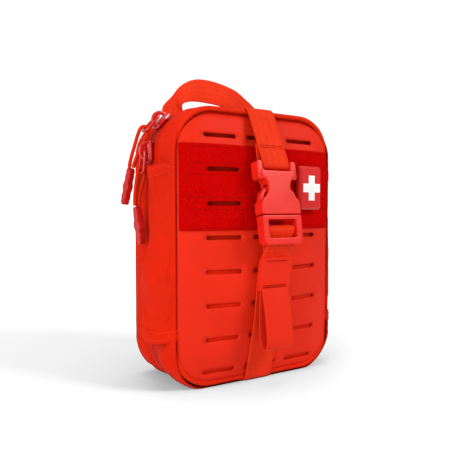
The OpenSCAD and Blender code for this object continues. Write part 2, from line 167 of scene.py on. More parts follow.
def woven(name, color, pitch=0.9, depth=0.10, rough=0.72, twill=0.0, patch=0.12, **shader):
    """Woven cloth: crossing threads, painted shade in the valleys of the weave, fine fuzz, and slow changes
    of tone.
    """
    material, n, bsdf = new_material(name, color, rough, **FABRIC, **shader)
    across, along = n.uv()
    k = 2 * math.pi / (pitch * MM)
    slant = n.math("ADD", across, n.math("MULTIPLY", along, twill))
    warp = n.math("SINE", n.math("MULTIPLY", slant, k))
    weft = n.math("SINE", n.math("MULTIPLY", along, k))
    cross = n.math("MULTIPLY", n.math("MULTIPLY", warp, weft), 0.5)
    body = n.add("ShaderNodeTexCoord").outputs["Object"]
    fuzz = n.noise(body, 2600.0, 2.0)
    slow = n.noise(body, 28.0, 4.0, 0.6)
    height = n.math("ADD", cross, n.math("MULTIPLY", fuzz, 0.7))
    n.feed(bsdf.inputs["Normal"], n.bump(height, 0.8, depth * MM))
    tone = n.mix(n.ramp(slow, 0.3, 0.7), shade(color, 1 - patch), shade(color, 1 + patch))
    # painted shade: the colour darkens where the weave height is low, in the valleys between the threads
    thread = n.mix(n.ramp(cross, -0.5, 0.5), shade(color, 0.72), tone)
    n.feed(bsdf.inputs["Base Color"], n.mix(0.55, tone, thread))
    n.feed(bsdf.inputs["Roughness"], n.ramp(n.math("ADD", fuzz, slow), -1.2, 1.8 / max(rough, 0.1)))
    return material


LANES = 160.0  # herringbone lanes in a metre of webbing


def ribbed(name, color, rib=1.25, depth=0.16, rough=0.55, **shader):
    """Webbing: a herringbone of fine ribs across the band with painted shade in the grooves, worn a little
    paler.
    """
    material, n, bsdf = new_material(name, color, rough, **FABRIC, **shader)
    across, along = n.uv()
    k = 2 * math.pi / (rib * MM)
    fold = n.math("ABSOLUTE", n.math("SUBTRACT", n.math("FRACT", n.math("MULTIPLY", across, LANES)), 0.5))
    zig = n.math("MULTIPLY", fold, 2.4 * math.pi)
    rows = n.math("SINE", n.math("ADD", n.math("MULTIPLY", along, k), zig))
    lanes = n.math("ABSOLUTE", n.math("SINE", n.math("MULTIPLY", across, LANES * math.pi)))
    body = n.add("ShaderNodeTexCoord").outputs["Object"]
    fuzz = n.noise(body, 2200.0, 2.0)
    slow = n.noise(body, 40.0, 3.0)
    height = n.math("ADD", n.math("MULTIPLY", rows, lanes), n.math("MULTIPLY", fuzz, 0.6))
    n.feed(bsdf.inputs["Normal"], n.bump(height, 0.7, depth * MM))
    tone = n.mix(n.ramp(slow, 0.35, 0.65), shade(color, 0.9), shade(color, 1.08))
    # painted shade: the colour darkens where the rib height is low, in the grooves between the ribs
    n.feed(bsdf.inputs["Base Color"], n.mix(n.ramp(height, -0.6, 1.0), shade(color, 0.74), tone))
    n.feed(bsdf.inputs["Roughness"], n.ramp(slow, -1.6, 2.6))
    return material


def moulded(name, color, rough, grain=0.03, scale=900.0, patch=0.05, **shader):
    """Moulded plastic, rubber or paint: a fine grain and faint handling marks."""
    material, n, bsdf = new_material(name, color, rough, **shader)
    body = n.add("ShaderNodeTexCoord").outputs["Object"]
    fine = n.noise(body, scale, 3.0)
    slow = n.noise(body, 60.0, 4.0)
    n.feed(bsdf.inputs["Normal"], n.bump(fine, 0.6, grain * MM))
    n.feed(bsdf.inputs["Base Color"],
           n.mix(n.ramp(slow, 0.3, 0.7), shade(color, 1 - patch), shade(color, 1 + patch)))
    smudge = n.math("MULTIPLY", n.ramp(slow, 0.35, 0.75), 0.16)
    n.feed(bsdf.inputs["Roughness"], n.math("ADD", smudge, rough - 0.06))
    return material


def coated(name, color):
    """Laminate: a smooth coating over cloth, with the weave just showing."""
    material, n, bsdf = new_material(name, color, 0.6, Specular_IOR_Level=0.08)
    across, along = n.uv()
    k = 2 * math.pi / (0.8 * MM)
    weave = n.math("MULTIPLY", n.math("SINE", n.math("MULTIPLY", across, k)),
                   n.math("SINE", n.math("MULTIPLY", along, k)))
    body = n.add("ShaderNodeTexCoord").outputs["Object"]
    grain = n.noise(body, 1500.0, 3.0)
    slow = n.noise(body, 22.0, 4.0, 0.55)
    height = n.math("ADD", n.math("MULTIPLY", weave, 0.25), grain)
    n.feed(bsdf.inputs["Normal"], n.bump(height, 0.5, 0.06 * MM))
    n.feed(bsdf.inputs["Base Color"],
           n.mix(n.ramp(slow, 0.3, 0.7), shade(color, 0.93), shade(color, 1.07)))
    n.feed(bsdf.inputs["Roughness"], n.ramp(grain, -1.6, 2.2))
    return material


def piled(name, color):
    """Hook-and-loop pile: painted shade between the loops and a painted highlight on their tops."""
    material, n, bsdf = new_material(name, color, 0.9, Specular_IOR_Level=0.01)
    body = n.add("ShaderNodeTexCoord").outputs["Object"]
    curls = n.add("ShaderNodeTexVoronoi", {"Vector": body, "Scale": 1100.0}).outputs["Distance"]
    tufts = n.noise(body, 700.0, 4.0, 0.7)
    slow = n.noise(body, 45.0, 3.0)
    height = n.math("ADD", n.math("MULTIPLY", curls, 0.8), tufts)
    n.feed(bsdf.inputs["Normal"], n.bump(height, 1.0, 0.35 * MM))
    # painted shade and highlight: darker where the pile height is low, paler where it is high
    pile = n.mix(n.ramp(height, 0.55, 1.15), shade(color, 0.62), shade(color, 1.25))
    n.feed(bsdf.inputs["Base Color"], n.mix(n.ramp(slow, 0.3, 0.7), pile, shade(color, 1.0)))
    return material


NYLON = woven("nylon", (0.72, 0.016, 0.0015))
NYLON_DARK = woven("nylon_lining", (0.55, 0.010, 0.0015), pitch=0.7)
BINDING = woven("binding", (0.76, 0.022, 0.002), pitch=0.7, twill=0.5)
TAPE = woven("zip_tape", (0.66, 0.012, 0.0015), pitch=0.6)
WEBBING = ribbed("webbing", (0.86, 0.036, 0.006))
LAMINATE = coated("laminate", (0.72, 0.022, 0.006))
PILE = piled("loop_pile", (0.52, 0.0012, 0.0008))
THREAD = moulded("thread", (0.80, 0.030, 0.004), 0.6, 0.05, 3000.0, Specular_IOR_Level=0.2)
# painted shade: this thread is darkened to stand for the shade in its needle holes
THREAD_SHADED = moulded("thread_shaded", (0.38, 0.004, 0.001), 0.8, 0.05, 3000.0, Specular_IOR_Level=0.03)
BUCKLE = moulded("buckle_plastic", (0.74, 0.014, 0.005), 0.36, 0.03, 1400.0, Specular_IOR_Level=0.35)
COIL = moulded("zip_coil", (0.55, 0.008, 0.003), 0.4, Specular_IOR_Level=0.3)
PAINT = moulded("zip_paint", (0.62, 0.010, 0.006), 0.16, 0.01, 500.0, Coat_Weight=0.5, Coat_Roughness=0.06)
CORD = ribbed("braided_cord", (0.78, 0.030, 0.004), rib=1.1, depth=0.22)
GRIP = moulded("grip_rubber", (0.56, 0.006, 0.003), 0.36, 0.05, 1200.0, Specular_IOR_Level=0.4)
BADGE = moulded("badge_red", (0.62, 0.016, 0.012), 0.36, 0.02, 900.0, Specular_IOR_Level=0.25)
WHITE = moulded("badge_white", (0.86, 0.86, 0.84), 0.4, 0.02, 900.0)
ELASTIC = ribbed("elastic", (0.50, 0.010, 0.008), rib=0.9, depth=0.25)
GAUZE = woven("gauze", (0.84, 0.83, 0.78), pitch=1.1, depth=0.25, patch=0.04)
PACK_TAPE = woven("cloth_tape", (0.80, 0.74, 0.62), pitch=0.6, patch=0.04)
STEEL = moulded("steel", (0.60, 0.61, 0.63), 0.28, 0.01, 600.0, Metallic=1.0)
BLACK = moulded("black_plastic", (0.02, 0.02, 0.022), 0.45, 0.05, 1200.0)
GREEN = moulded("green_pouch", (0.16, 0.20, 0.10), 0.36, 0.08, 260.0, 0.1)
CARTON = moulded("coated_card", (0.82, 0.82, 0.80), 0.5, 0.03, 700.0)
BLUE = moulded("blue_packet", (0.06, 0.17, 0.46), 0.34, 0.08, 260.0, 0.1)
FOIL = moulded("foil_packet", (0.68, 0.69, 0.71), 0.22, 0.20, 180.0, Metallic=0.9)
SNAP = moulded("snap_metal", (0.03, 0.03, 0.032), 0.3, 0.01, 500.0, Metallic=0.8)

# ---- Mesh helpers ----


def add_mesh(name, verts, faces, material, uvs=None, smooth=True):
    """A mesh object from points in millimetres, with one UV pair, in metres, for each point."""
    mesh = bpy.data.meshes.new(name)
    mesh.from_pydata((np.asarray(verts, float) * MM).tolist(), [], [tuple(int(i) for i in f) for f in faces])
    if uvs is not None:
        layer = mesh.uv_layers.new(name="UVMap")
        index = np.empty(len(mesh.loops), int)
        mesh.loops.foreach_get("vertex_index", index)
        layer.data.foreach_set("uv", (np.asarray(uvs, float) * MM)[index].ravel())
    mesh.materials.append(material)
    mesh.polygons.foreach_set("use_smooth", [smooth] * len(mesh.polygons))
    mesh.validate()
    obj = bpy.data.objects.new(name, mesh)
    bpy.context.scene.collection.objects.link(obj)
    return obj


def modify(obj, kind, **settings):
    m = obj.modifiers.new(kind.title(), kind)
    for key, value in settings.items():
        setattr(m, key, value)
    return m


def round_edges(obj, width, segments=2, angle=35.0):
    modify(obj, "BEVEL", width=width * MM, segments=segments, limit_method="ANGLE",
           angle_limit=math.radians(angle), harden_normals=False)
    return obj


def applied(obj):
    """Turn an object's modifiers into its mesh."""
    bpy.context.view_layer.update()
    graph = bpy.context.evaluated_depsgraph_get()
    mesh = bpy.data.meshes.new_from_object(obj.evaluated_get(graph), depsgraph=graph)
    obj.modifiers.clear()
    obj.data = mesh
    return obj


def face_outwards(obj):
    bm = bmesh.new()
    bm.from_mesh(obj.data)
    bmesh.ops.recalc_face_normals(bm, faces=bm.faces)
    bm.to_mesh(obj.data)
    bm.free()


def repaint(obj, material, smooth):
    """Give a whole mesh one material and one kind of shading."""
    obj.data.materials.clear()
    obj.data.materials.append(material)
    obj.data.polygons.foreach_set("use_smooth", [smooth] * len(obj.data.polygons))


def keep_above(obj, height):
    """Lift any point of a mesh that lies below a height in metres."""
    co = np.array([v.co for v in obj.data.vertices])
    co[:, 2] = np.maximum(co[:, 2], height)
    obj.data.vertices.foreach_set("co", co.astype(np.float32).ravel())


def fit(obj, body, slot, *nodes):
    """The piece rides on a body and stands for CAD nodes; slot is not used."""
    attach(obj, body)
    if nodes:
        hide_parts(*nodes)
    return obj


def unit(v):
    v = np.asarray(v, float)
    return v / np.maximum(np.linalg.norm(v, axis=-1, keepdims=True), 1e-9)


def curve_through(points, step=2.0):
    """Points along a smooth curve through the given ones, about one step apart."""
    p = np.asarray(points, float)
    p = np.vstack([2 * p[0] - p[1], p, 2 * p[-1] - p[-2]])
    out = []
    for a, b, c, d in zip(p, p[1:], p[2:], p[3:]):
        n = max(int(np.linalg.norm(c - b) / step), 1)
        for t in np.arange(n) / n:
            out.append(0.5 * (2 * b + (c - a) * t + (2 * a - 5 * b + 4 * c - d) * t * t
                              + (3 * b - a - 3 * c + d) * t ** 3))
    out.append(p[-2])
    return np.array(out)


def lengths(path):
    return np.concatenate([[0], np.cumsum(np.linalg.norm(np.diff(path, axis=0), axis=1))])


def along_path(path, s, at):
    """The point at a length along a path whose points lie at the lengths s."""
    return np.array([np.interp(at, s, path[:, k]) for k in range(3)])


def sweep(name, path, up, ring, material, closed=False, scale=None):
    """A ring of (across, out) points carried along a path; up says which way out points."""
    path, ring = np.asarray(path, float), np.asarray(ring, float)
    count, sides = len(path), len(ring)
    ahead = np.roll(path, -1, 0) - np.roll(path, 1, 0)
    if not closed:
        ahead[0], ahead[-1] = path[1] - path[0], path[-1] - path[-2]
    t = unit(ahead)
    up = np.broadcast_to(np.asarray(up, float), path.shape)
    n = unit(up - t * np.sum(up * t, axis=1, keepdims=True))
    w = np.cross(t, n)
    k = np.ones(count) if scale is None else np.asarray(scale, float)
    verts = path[:, None] + (w[:, None] * ring[None, :, :1]
                             + n[:, None] * ring[None, :, 1:]) * k[:, None, None]
    girth = lengths(np.vstack([ring, ring[:1]]))[:sides]
    uvs = np.stack(np.broadcast_arrays(girth[None, :], lengths(path)[:, None]), axis=-1)
    faces = []
    for i in range(count if closed else count - 1):
        a, b = i * sides, ((i + 1) % count) * sides
        for j in range(sides):
            q = (j + 1) % sides
            faces.append((a + j, a + q, b + q, b + j))
    if not closed:
        faces.append(tuple(range(sides))[::-1])
        faces.append(tuple((count - 1) * sides + j for j in range(sides)))
    return add_mesh(name, verts.reshape(-1, 3), faces, material, uvs.reshape(-1, 2))


def circle(radius, sides=10):
    return [(radius * math.cos(a), radius * math.sin(a)) for a in np.arange(sides) * 2 * math.pi / sides]


def band(width, thick, columns=10):
    """The cross-section of a flat band with rounded selvedges."""
    half, t = width / 2, thick / 2
    top = [(x, t) for x in np.linspace(half - t, -half + t, columns)]
    left = [(-half + t - t * math.sin(a), t * math.cos(a))
            for a in (math.pi / 4, math.pi / 2, 3 * math.pi / 4)]
    under = [(x, -t) for x in np.linspace(-half + t, half - t, columns)]
    right = [(half - t + t * math.sin(a), -t * math.cos(a))
             for a in (math.pi / 4, math.pi / 2, 3 * math.pi / 4)]
    return top + left + under + right


def grid_faces(rows, columns, closed=False, start=0):
    wrap = columns if closed else columns - 1
    return [(start + i * columns + j, start + i * columns + (j + 1) % columns,
             start + (i + 1) * columns + (j + 1) % columns, start + (i + 1) * columns + j)
            for i in range(rows - 1) for j in range(wrap)]


def grid_uvs(points):
    """UVs from the lengths along the middle row and the middle column."""
    rows, columns = points.shape[:2]
    v = lengths(points[:, columns // 2])
    u = lengths(points[rows // 2])
    return np.stack(np.meshgrid(u, v), axis=-1).reshape(-1, 2)


def cloth_sheet(name, points, material, thick, closed=False, outward=1.0):
    """A sheet of cloth from a grid of points; thick is laid behind its outer side."""
    rows, columns = points.shape[:2]
    obj = add_mesh(name, points.reshape(-1, 3), grid_faces(rows, columns, closed), material,
                   grid_uvs(points))
    if thick:
        modify(obj, "SOLIDIFY", thickness=thick * MM, offset=-outward, use_even_offset=True)
    return obj


def settle(obj, pinned, frames=14, grow=0.02, pressure=0.0, gravity=0.0, cap=4.0, stiff=8.0):
    """Let a sheet wrinkle as cloth: pinned is one weight for each point, 1 where it is sewn."""
    scene = bpy.context.scene
    group = obj.vertex_groups.new(name="sewn")
    for i, w in enumerate(pinned):
        if w > 0:
            group.add([i], float(w), "REPLACE")
    rest = np.array([v.co for v in obj.data.vertices])
    cloth = modify(obj, "CLOTH")
    s = cloth.settings
    s.quality = 6
    s.mass = 0.15
    s.tension_stiffness = s.compression_stiffness = stiff
    s.shear_stiffness = stiff / 2
    s.bending_stiffness = 0.4
    s.air_damping = 4
    s.vertex_group_mass = "sewn"
    s.shrink_min = s.shrink_max = -grow
    if pressure:
        s.use_pressure = True
        s.uniform_pressure_force = pressure
    s.effector_weights.gravity = gravity
    cloth.collision_settings.use_collision = False
    cloth.point_cache.frame_start, cloth.point_cache.frame_end = 1, frames
    for f in range(1, frames + 1):
        scene.frame_set(f)
    graph = bpy.context.evaluated_depsgraph_get()
    moved = np.array([v.co for v in obj.evaluated_get(graph).data.vertices])
    obj.modifiers.remove(cloth)
    obj.vertex_groups.clear()
    scene.frame_set(1)
    step = moved - rest
    size = np.linalg.norm(step, axis=1, keepdims=True)
    step *= np.minimum(1, cap * MM / np.maximum(size, 1e-9))
    obj.data.vertices.foreach_set("co", (rest + step).astype(np.float32).ravel())
    obj.data.update()
    return obj


def inflated(obj, voxel=2.5, pressure=4.0, cap=5.0, frames=16):
    """Swell a closed shape as a filled pouch: remesh, press out as cloth, smooth once."""
    modify(obj, "REMESH", mode="VOXEL", voxel_size=voxel * MM)
    applied(obj)
    settle(obj, [0.0] * len(obj.data.vertices), frames, grow=0.0, pressure=pressure, cap=cap)
    obj.data.polygons.foreach_set("use_smooth", [True] * len(obj.data.polygons))
    modify(obj, "SUBSURF", levels=1, render_levels=1)
    return obj


def ripple(p, scale, size, seed=0.0):
    """Slow unevenness of cloth at a point in millimetres."""
    return size * noise.noise(Vector((p[0] * scale + seed, p[1] * scale + seed * 0.7, p[2] * scale - seed)))


class Stitches:
    """Raised stitches along any number of seams, joined into one piece at the end."""

    def __init__(self):
        self.verts, self.faces = [], []

    def seam(self, path, normals, pitch=3.2, long=2.3, r=0.32, lift=0.16):
        path = np.asarray(path, float)
        normals = np.broadcast_to(np.asarray(normals, float), path.shape)
        s = lengths(path)
        for at in np.arange(pitch / 2, s[-1] - long / 2, pitch):
            ends = [along_path(path, s, at + d) for d in (-long / 2, 0, long / 2)]
            out = unit(along_path(normals, s, at))
            along = unit(ends[2] - ends[0])
            side = np.cross(along, out)
            rows = []
            for point, size, high in zip([ends[0], *ends, ends[2]], (0.25, 0.8, 1.0, 0.8, 0.25),
                                         (-0.5, 0.2, 1.0, 0.2, -0.5)):
                for a in np.arange(6) * math.pi / 3:
                    rows.append(point + out * (lift * high + r * size * 0.8 * math.sin(a))
                                + side * r * size * math.cos(a))
            base = len(self.verts)
            self.verts += rows
            self.faces += grid_faces(5, 6, True, base)
            self.faces += [tuple(base + j for j in range(5, -1, -1)), tuple(base + 24 + j for j in range(6))]

    def piece(self, name, body, slot="webbing", material=None):
        obj = add_mesh(name, self.verts, self.faces, material or THREAD)
        return fit(obj, body, slot)


# ---- Outline of the case and shape of its front ----


def outline(inset=0.0, step=3.0, low=0.0):
    """Points round the case from the bottom centre, anticlockwise from the front:
    rows of x, z, outward x, outward z."""
    half, top = HALF_W - inset, CASE_H - inset
    high_r, low_r = max(CORNER_R - inset, 1.5), max(CORNER_R - 3 - inset, 1.5)
    low = low + inset
    rows = []

    def line(a, b, n):
        count = max(int(math.dist(a, b) / step), 1)
        for t in np.arange(count) / count:
            rows.append((a[0] + (b[0] - a[0]) * t, a[1] + (b[1] - a[1]) * t, *n))

    def turn(c, a0, r):
        count = max(int(r * math.pi / 2 / step), 6)
        for t in np.arange(count) / count:
            a = math.radians(a0 + 90 * t)
            rows.append((c[0] + r * math.cos(a), c[1] + r * math.sin(a), math.cos(a), math.sin(a)))

    line((0, low), (half - low_r, low), (0, -1))
    turn((half - low_r, low + low_r), -90, low_r)
    line((half, low + low_r), (half, top - high_r), (1, 0))
    turn((half - high_r, top - high_r), 0, high_r)
    line((half - high_r, top), (-half + high_r, top), (0, 1))
    turn((-half + high_r, top - high_r), 90, high_r)
    line((-half, top - high_r), (-half, low + low_r), (-1, 0))
    turn((-half + low_r, low + low_r), 180, low_r)
    line((-half + low_r, low), (0, low), (0, -1))
    return np.array(rows)


def zip_outline(step=2.0):
    """The part of the outline that the zip follows: both sides and the top."""
    rows = outline(0.0, step)
    return rows[rows[:, 1] > 6.0]


def at_depth(rows, y, out=0.0):
    """Outline rows at depth y, moved outwards."""
    return np.stack([rows[:, 0] + rows[:, 2] * out, np.full(len(rows), float(y)),
                     rows[:, 1] + rows[:, 3] * out], axis=1)


def outwards(rows):
    return np.stack([rows[:, 2], np.zeros(len(rows)), rows[:, 3]], axis=1)


def swell(x, z):
    """How far the front face stands forward of the piping."""
    dx = BULGE * (x / HALF_W) ** 2
    dz = BULGE * ((z - MID_Z) / MID_Z) ** 2
    return max(BULGE - (abs(dx) ** 3 + abs(dz) ** 3) ** (1 / 3), 0.15)


def on_front(x, z, out=0.0):
    return np.array([x, FRONT_Y - swell(x, z) - out, z])


def front_normal(x, z):
    a = on_front(x + 1, z) - on_front(x - 1, z)
    b = on_front(x, z + 1) - on_front(x, z - 1)
    return unit(np.cross(a, b))


def slot_loops():
    """The outlines of the slots in the front panel."""
    loops = []
    for row in range(8):
        z = SLOT_MID_Z + (3.5 - row) * ROW_PITCH
        for column in (-1, 0, 1):
            x = column * COLUMN_PITCH
            half, r = SLOT_LEN / 2 - SLOT_W / 2, SLOT_W / 2
            ends = [(x + s * half, z, a0) for s, a0 in ((1, -90), (-1, 90))]
            loops.append([(cx + r * math.cos(math.radians(a0 + d)), cz + r * math.sin(math.radians(a0 + d)))
                          for cx, cz, a0 in ends for d in range(0, 181, 30)])
    return loops


def inside(points, loop):
    """Which points lie inside a closed loop."""
    points, loop = np.asarray(points, float), np.asarray(loop, float)
    x, y = points[:, 0][:, None], points[:, 1][:, None]
    a, b = loop, np.roll(loop, -1, 0)
    hit = (a[:, 1] > y) != (b[:, 1] > y)
    with np.errstate(divide="ignore", invalid="ignore"):
        cross = (b[:, 0] - a[:, 0]) * (y - a[:, 1]) / (b[:, 1] - a[:, 1]) + a[:, 0]
    return (np.sum(hit & (x < cross), axis=1) % 2) == 1


def cut_sheet(edge, holes, pitch):
    """Triangles in X and Z inside an edge loop and outside some holes."""
    loops = [list(edge), *holes]
    points, edges = [], []
    for loop in loops:
        base = len(points)
        points += [tuple(p[:2]) for p in loop]
        edges += [(base + i, base + (i + 1) % len(loop)) for i in range(len(loop))]
    rim = np.array(points)
    low, high = rim[:len(edge)].min(0), rim[:len(edge)].max(0)
    xs, zs = np.arange(low[0], high[0], pitch), np.arange(low[1], high[1], pitch * 0.87)
    inner = np.array([(x + (pitch / 2 if k % 2 else 0), z) for k, z in enumerate(zs) for x in xs])
    keep = inside(inner, rim[:len(edge)])
    for loop in holes:
        keep &= ~inside(inner, loop)
    inner = inner[keep]
    near = np.array([np.min(np.sum((rim - p) ** 2, axis=1)) for p in inner])
    inner = inner[near > (0.55 * pitch) ** 2]
    points += [tuple(p) for p in inner]
    out = geometry.delaunay_2d_cdt([Vector(p) for p in points], edges, [], 0, 1e-5)
    flat = np.array([tuple(v) for v in out[0]])
    faces = np.array([tuple(f) for f in out[2]])
    middle = flat[faces].mean(axis=1)
    keep = inside(middle, rim[:len(edge)])
    for loop in holes:
        keep &= ~inside(middle, loop)
    return flat, faces[keep]


def panel(name, flat, faces, place, thick, material, forward=True):
    """A solid sheet from flat triangles: place(x, z, depth) gives each point, depth 0 on the show side."""
    show = np.array([place(x, z, 0.0) for x, z in flat])
    back = np.array([place(x, z, thick) for x, z in flat])
    count = len(flat)
    a, b, c = show[faces[0][0]], show[faces[0][1]], show[faces[0][2]]
    flip = (np.cross(b - a, c - a)[1] > 0) == forward
    tris = [tuple(f[::-1]) if flip else tuple(f) for f in faces.tolist()]
    under = [tuple(count + i for i in f[::-1]) for f in tris]
    once = {}
    for f in tris:
        for i in range(3):
            e = (f[i], f[(i + 1) % 3])
            once[e] = once.get(e, 0) + 1
    rims = [(b, a, count + a, count + b) for a, b in once if (b, a) not in once]
    uvs = np.vstack([flat, flat])
    obj = add_mesh(name, np.vstack([show, back]), tris + under + rims, material, uvs)
    for poly in obj.data.polygons[2 * len(tris):]:
        poly.use_smooth = False
    return obj


# ---- Moulded solids, merged from prisms and rounded ----


def rounded_loop(x0, z0, x1, z1, r, n=5):
    loop = []
    for cx, cz, a0 in ((x1 - r, z0 + r, -90), (x1 - r, z1 - r, 0), (x0 + r, z1 - r, 90),
                       (x0 + r, z0 + r, 180)):
        for a in np.linspace(a0, a0 + 90, n):
            loop.append((cx + r * math.cos(math.radians(a)), cz + r * math.sin(math.radians(a))))
    return loop


def round_loop(cx, cz, r, n=28):
    return [(cx + r * math.cos(a), cz + r * math.sin(a)) for a in np.arange(n) * 2 * math.pi / n]


def strip_loop(path, thick):
    """The outline of a strip of constant thickness along a flat path."""
    p = np.asarray(path, float)
    t = np.gradient(p, axis=0)
    t /= np.linalg.norm(t, axis=1, keepdims=True)
    n = np.stack([-t[:, 1], t[:, 0]], axis=1) * thick / 2
    return [tuple(q) for q in np.vstack([p + n, (p - n)[::-1]])]


def prism_object(parts, place):
    """One mesh of prisms; each is a flat loop with its front and back depth."""
    verts, faces = [], []
    for loop, y0, y1 in parts:
        area = sum(a[0] * b[1] - b[0] * a[1] for a, b in zip(loop, loop[1:] + loop[:1]))
        loop = list(loop) if area > 0 else list(loop)[::-1]
        base, n = len(verts), len(loop)
        verts += [place(np.array([x, y0, z])) for x, z in loop] + [place(np.array([x, y1, z]))
                                                                   for x, z in loop]
        faces.append(tuple(base + i for i in range(n)))
        faces.append(tuple(base + n + i for i in range(n))[::-1])
        faces += [(base + (i + 1) % n, base + i, base + n + i, base + n + (i + 1) % n) for i in range(n)]
    return add_mesh("part", verts, faces, BUCKLE)


def moulded_solid(name, adds, cuts, material, place=lambda p: p, voxel=0.5, rounds=4):
    """Merge prisms, cut others away, and round every edge as a mould would."""
    obj = prism_object(adds, place)
    obj.name = name
    modify(obj, "REMESH", mode="VOXEL", voxel_size=voxel * MM)
    applied(obj)
    if cuts:
        tool = prism_object(cuts, place)
        cut = modify(obj, "BOOLEAN", operation="DIFFERENCE", solver="EXACT", use_self=True)
        cut.object = tool
        applied(obj)
        bpy.data.objects.remove(tool)
        modify(obj, "REMESH", mode="VOXEL", voxel_size=voxel * MM)
    modify(obj, "SMOOTH", factor=0.5, iterations=rounds)
    applied(obj)
    repaint(obj, material, True)
    return obj


# ---- Case halves ----

FRONT_SEAM, REAR_SEAM = ZIP_Y - 11.2, ZIP_Y + 11.2
REAR_PIPE_Y = BACK_Y - 2.2


def gusset(name, y0, y1, body, node, seed):
    """The fabric wall round one half, sewn at both edges and free to wrinkle between."""
    rows = outline(0.0, 3.0)
    depths = np.linspace(y0, y1, 11)
    points = []
    for y in depths:
        t = (y - y0) / (y1 - y0)
        bow = 1.1 * math.sin(math.pi * t)
        ring = at_depth(rows, y)
        lift = np.array([bow + ripple(p, 0.03, 0.9 * math.sin(math.pi * t), seed) for p in ring])
        side = np.abs(rows[:, 2]) ** 4
        if body == "front_half":
            low, high = np.exp(-((rows[:, 1] - 24) / 13) ** 2), np.exp(-((rows[:, 1] - 186) / 12) ** 2)
            folds = np.array([ripple((0, p[1] * 3.2, p[2] * 0.5), 0.07, 2.4, 11.0) for p in ring])
            lift += (side * (3.6 * low + 1.2 * high + folds * (low + 0.4 * high))
                     * math.sin(math.pi * t ** 0.7))
            lift -= side * 1.8 * max(1 - t * 8, 0)
            ring[:, 1] -= side * 2.4 * max(1 - t * 3, 0)
        else:
            lift += side * 2.2 * t ** 1.5
        points.append(ring + outwards(rows) * lift[:, None])
    points = np.array(points)
    points[:, :, 2] = np.maximum(points[:, :, 2], 0.2)
    obj = cloth_sheet(name, points, NYLON, 0, True)
    edge = np.ones((len(depths), len(rows)))
    edge[1:-1] = np.where(rows[:, 1] < 1.0, 0.9, 0.0)[None, :]
    settle(obj, edge.ravel(), frames=12, grow=0.018, gravity=0.15, cap=3.0)
    keep_above(obj, 0.2 * MM)
    modify(obj, "SOLIDIFY", thickness=1.0 * MM, offset=-1.0 if y0 < y1 else 1.0)
    modify(obj, "SUBSURF", levels=1, render_levels=1)
    applied(obj)
    keep_above(obj, 0.1 * MM)
    return fit(obj, body, "nylon", node)


def lining(name, y_zip, y_deep, body):
    """The inner wall of one half, turned over the zip edge."""
    s = 1 if y_deep > y_zip else -1
    profile = [(0.9, y_zip + s * 0.7), (1.9, y_zip + s * 0.45), (2.8, y_zip + s * 1.2), (3.1, y_zip + s * 5),
               (3.2, (y_zip + y_deep) / 2), (3.2, y_deep - s * 3), (4.4, y_deep - s * 0.8), (7.5, y_deep)]
    base = outline(0.0, 3.0)
    points = []
    for inset, y in profile:
        ring = at_depth(base, y, -inset)
        wave = np.array([ripple(p, 0.05, 0.5, 3.0) for p in ring]) if inset > 3 else np.zeros(len(base))
        points.append(ring + outwards(base) * wave[:, None])
    obj = cloth_sheet(name, np.array(points), NYLON_DARK, 0.6, True, outward=-s)
    return fit(obj, body, "nylon")


def face_panel(name, inset, place, body, slot, material, thick=0.8, pitch=7.0, nodes=(), holes=(), side=None):
    wide = (HALF_W - (inset if side is None else side)) / (HALF_W - inset)
    edge = [(x * wide, z) for x, z in outline(inset, 4.0)[:, :2]]
    flat, faces = cut_sheet(edge, list(holes), pitch)
    return fit(panel(name, flat, faces, place, thick, material), body, slot, *nodes)


def behind_slots(x, z, d):
    """The case fabric sags away from the panel, more so near the top."""
    rim = min(HALF_W - abs(x), CASE_H - z, z)
    sag = (0.4 + 3.6 * min(max(z - 85, 0) / 60, 1)) * min(max(rim - 3, 0) / 9, 1)
    return on_front(x, z, -1.5 - sag - d)


gusset("front_gusset", FRONT_Y + 1.2, FRONT_SEAM, "front_half", "front_shell", 1.0)
gusset("rear_gusset", REAR_SEAM, REAR_PIPE_Y - 0.6, "rear_half", "rear_shell", 5.0)
lining("front_lining", ZIP_Y - 0.2, FRONT_Y + 8.2, "front_half")
lining("rear_lining", ZIP_Y + 0.2, BACK_Y - 3.4, "rear_half")
face_panel("front_face", 1.6, behind_slots, "front_half", "nylon", NYLON)
face_panel("front_inner_face", 6.0, lambda x, z, d: on_front(x, z, -8.0 - d), "front_half", "nylon",
           NYLON_DARK)
face_panel("rear_face", 1.6, lambda x, z, d: np.array([x, BACK_Y - d, z]), "rear_half", "nylon", NYLON)
face_panel("rear_inner_face", 6.0, lambda x, z, d: np.array([x, BACK_Y - 3.4 - d, z]),
           "rear_half", "nylon", NYLON_DARK)


def piping(name, y, low, seat, body, node):
    """Cord in a folded binding; seat moves it outwards along the sides."""
    rows = outline(0.7, 2.0, low)
    side = np.abs(rows[:, 2]) ** 6
    path = at_depth(rows, y) + outwards(rows) * (seat * side)[:, None]
    path[:, 1] += max(-seat, 0) * 1.6 * side
    k = [1 + 0.05 * noise.noise(Vector(p) * 0.12) for p in path]
    obj = sweep(name, path, outwards(rows), circle(1.95, 12), BINDING, True, k)
    return fit(obj, body, "piping", node)


piping("front_piping_welt", FRONT_Y, 3.1, -1.6, "front_half", "front_piping")
piping("rear_piping_welt", REAR_PIPE_Y, 1.3, 2.0, "rear_half", "rear_piping")


def zip_tape(name, y0, y1, body, node):
    rows = zip_outline()
    points = []
    for y in np.linspace(y0, y1, 7):
        near = abs(y - ZIP_Y) / 12
        points.append(at_depth(rows, y, -0.15 + 0.3 * near))
    obj = cloth_sheet(name, np.array(points), TAPE, 0.8, False, 1.0)
    return fit(obj, body, "webbing", node)


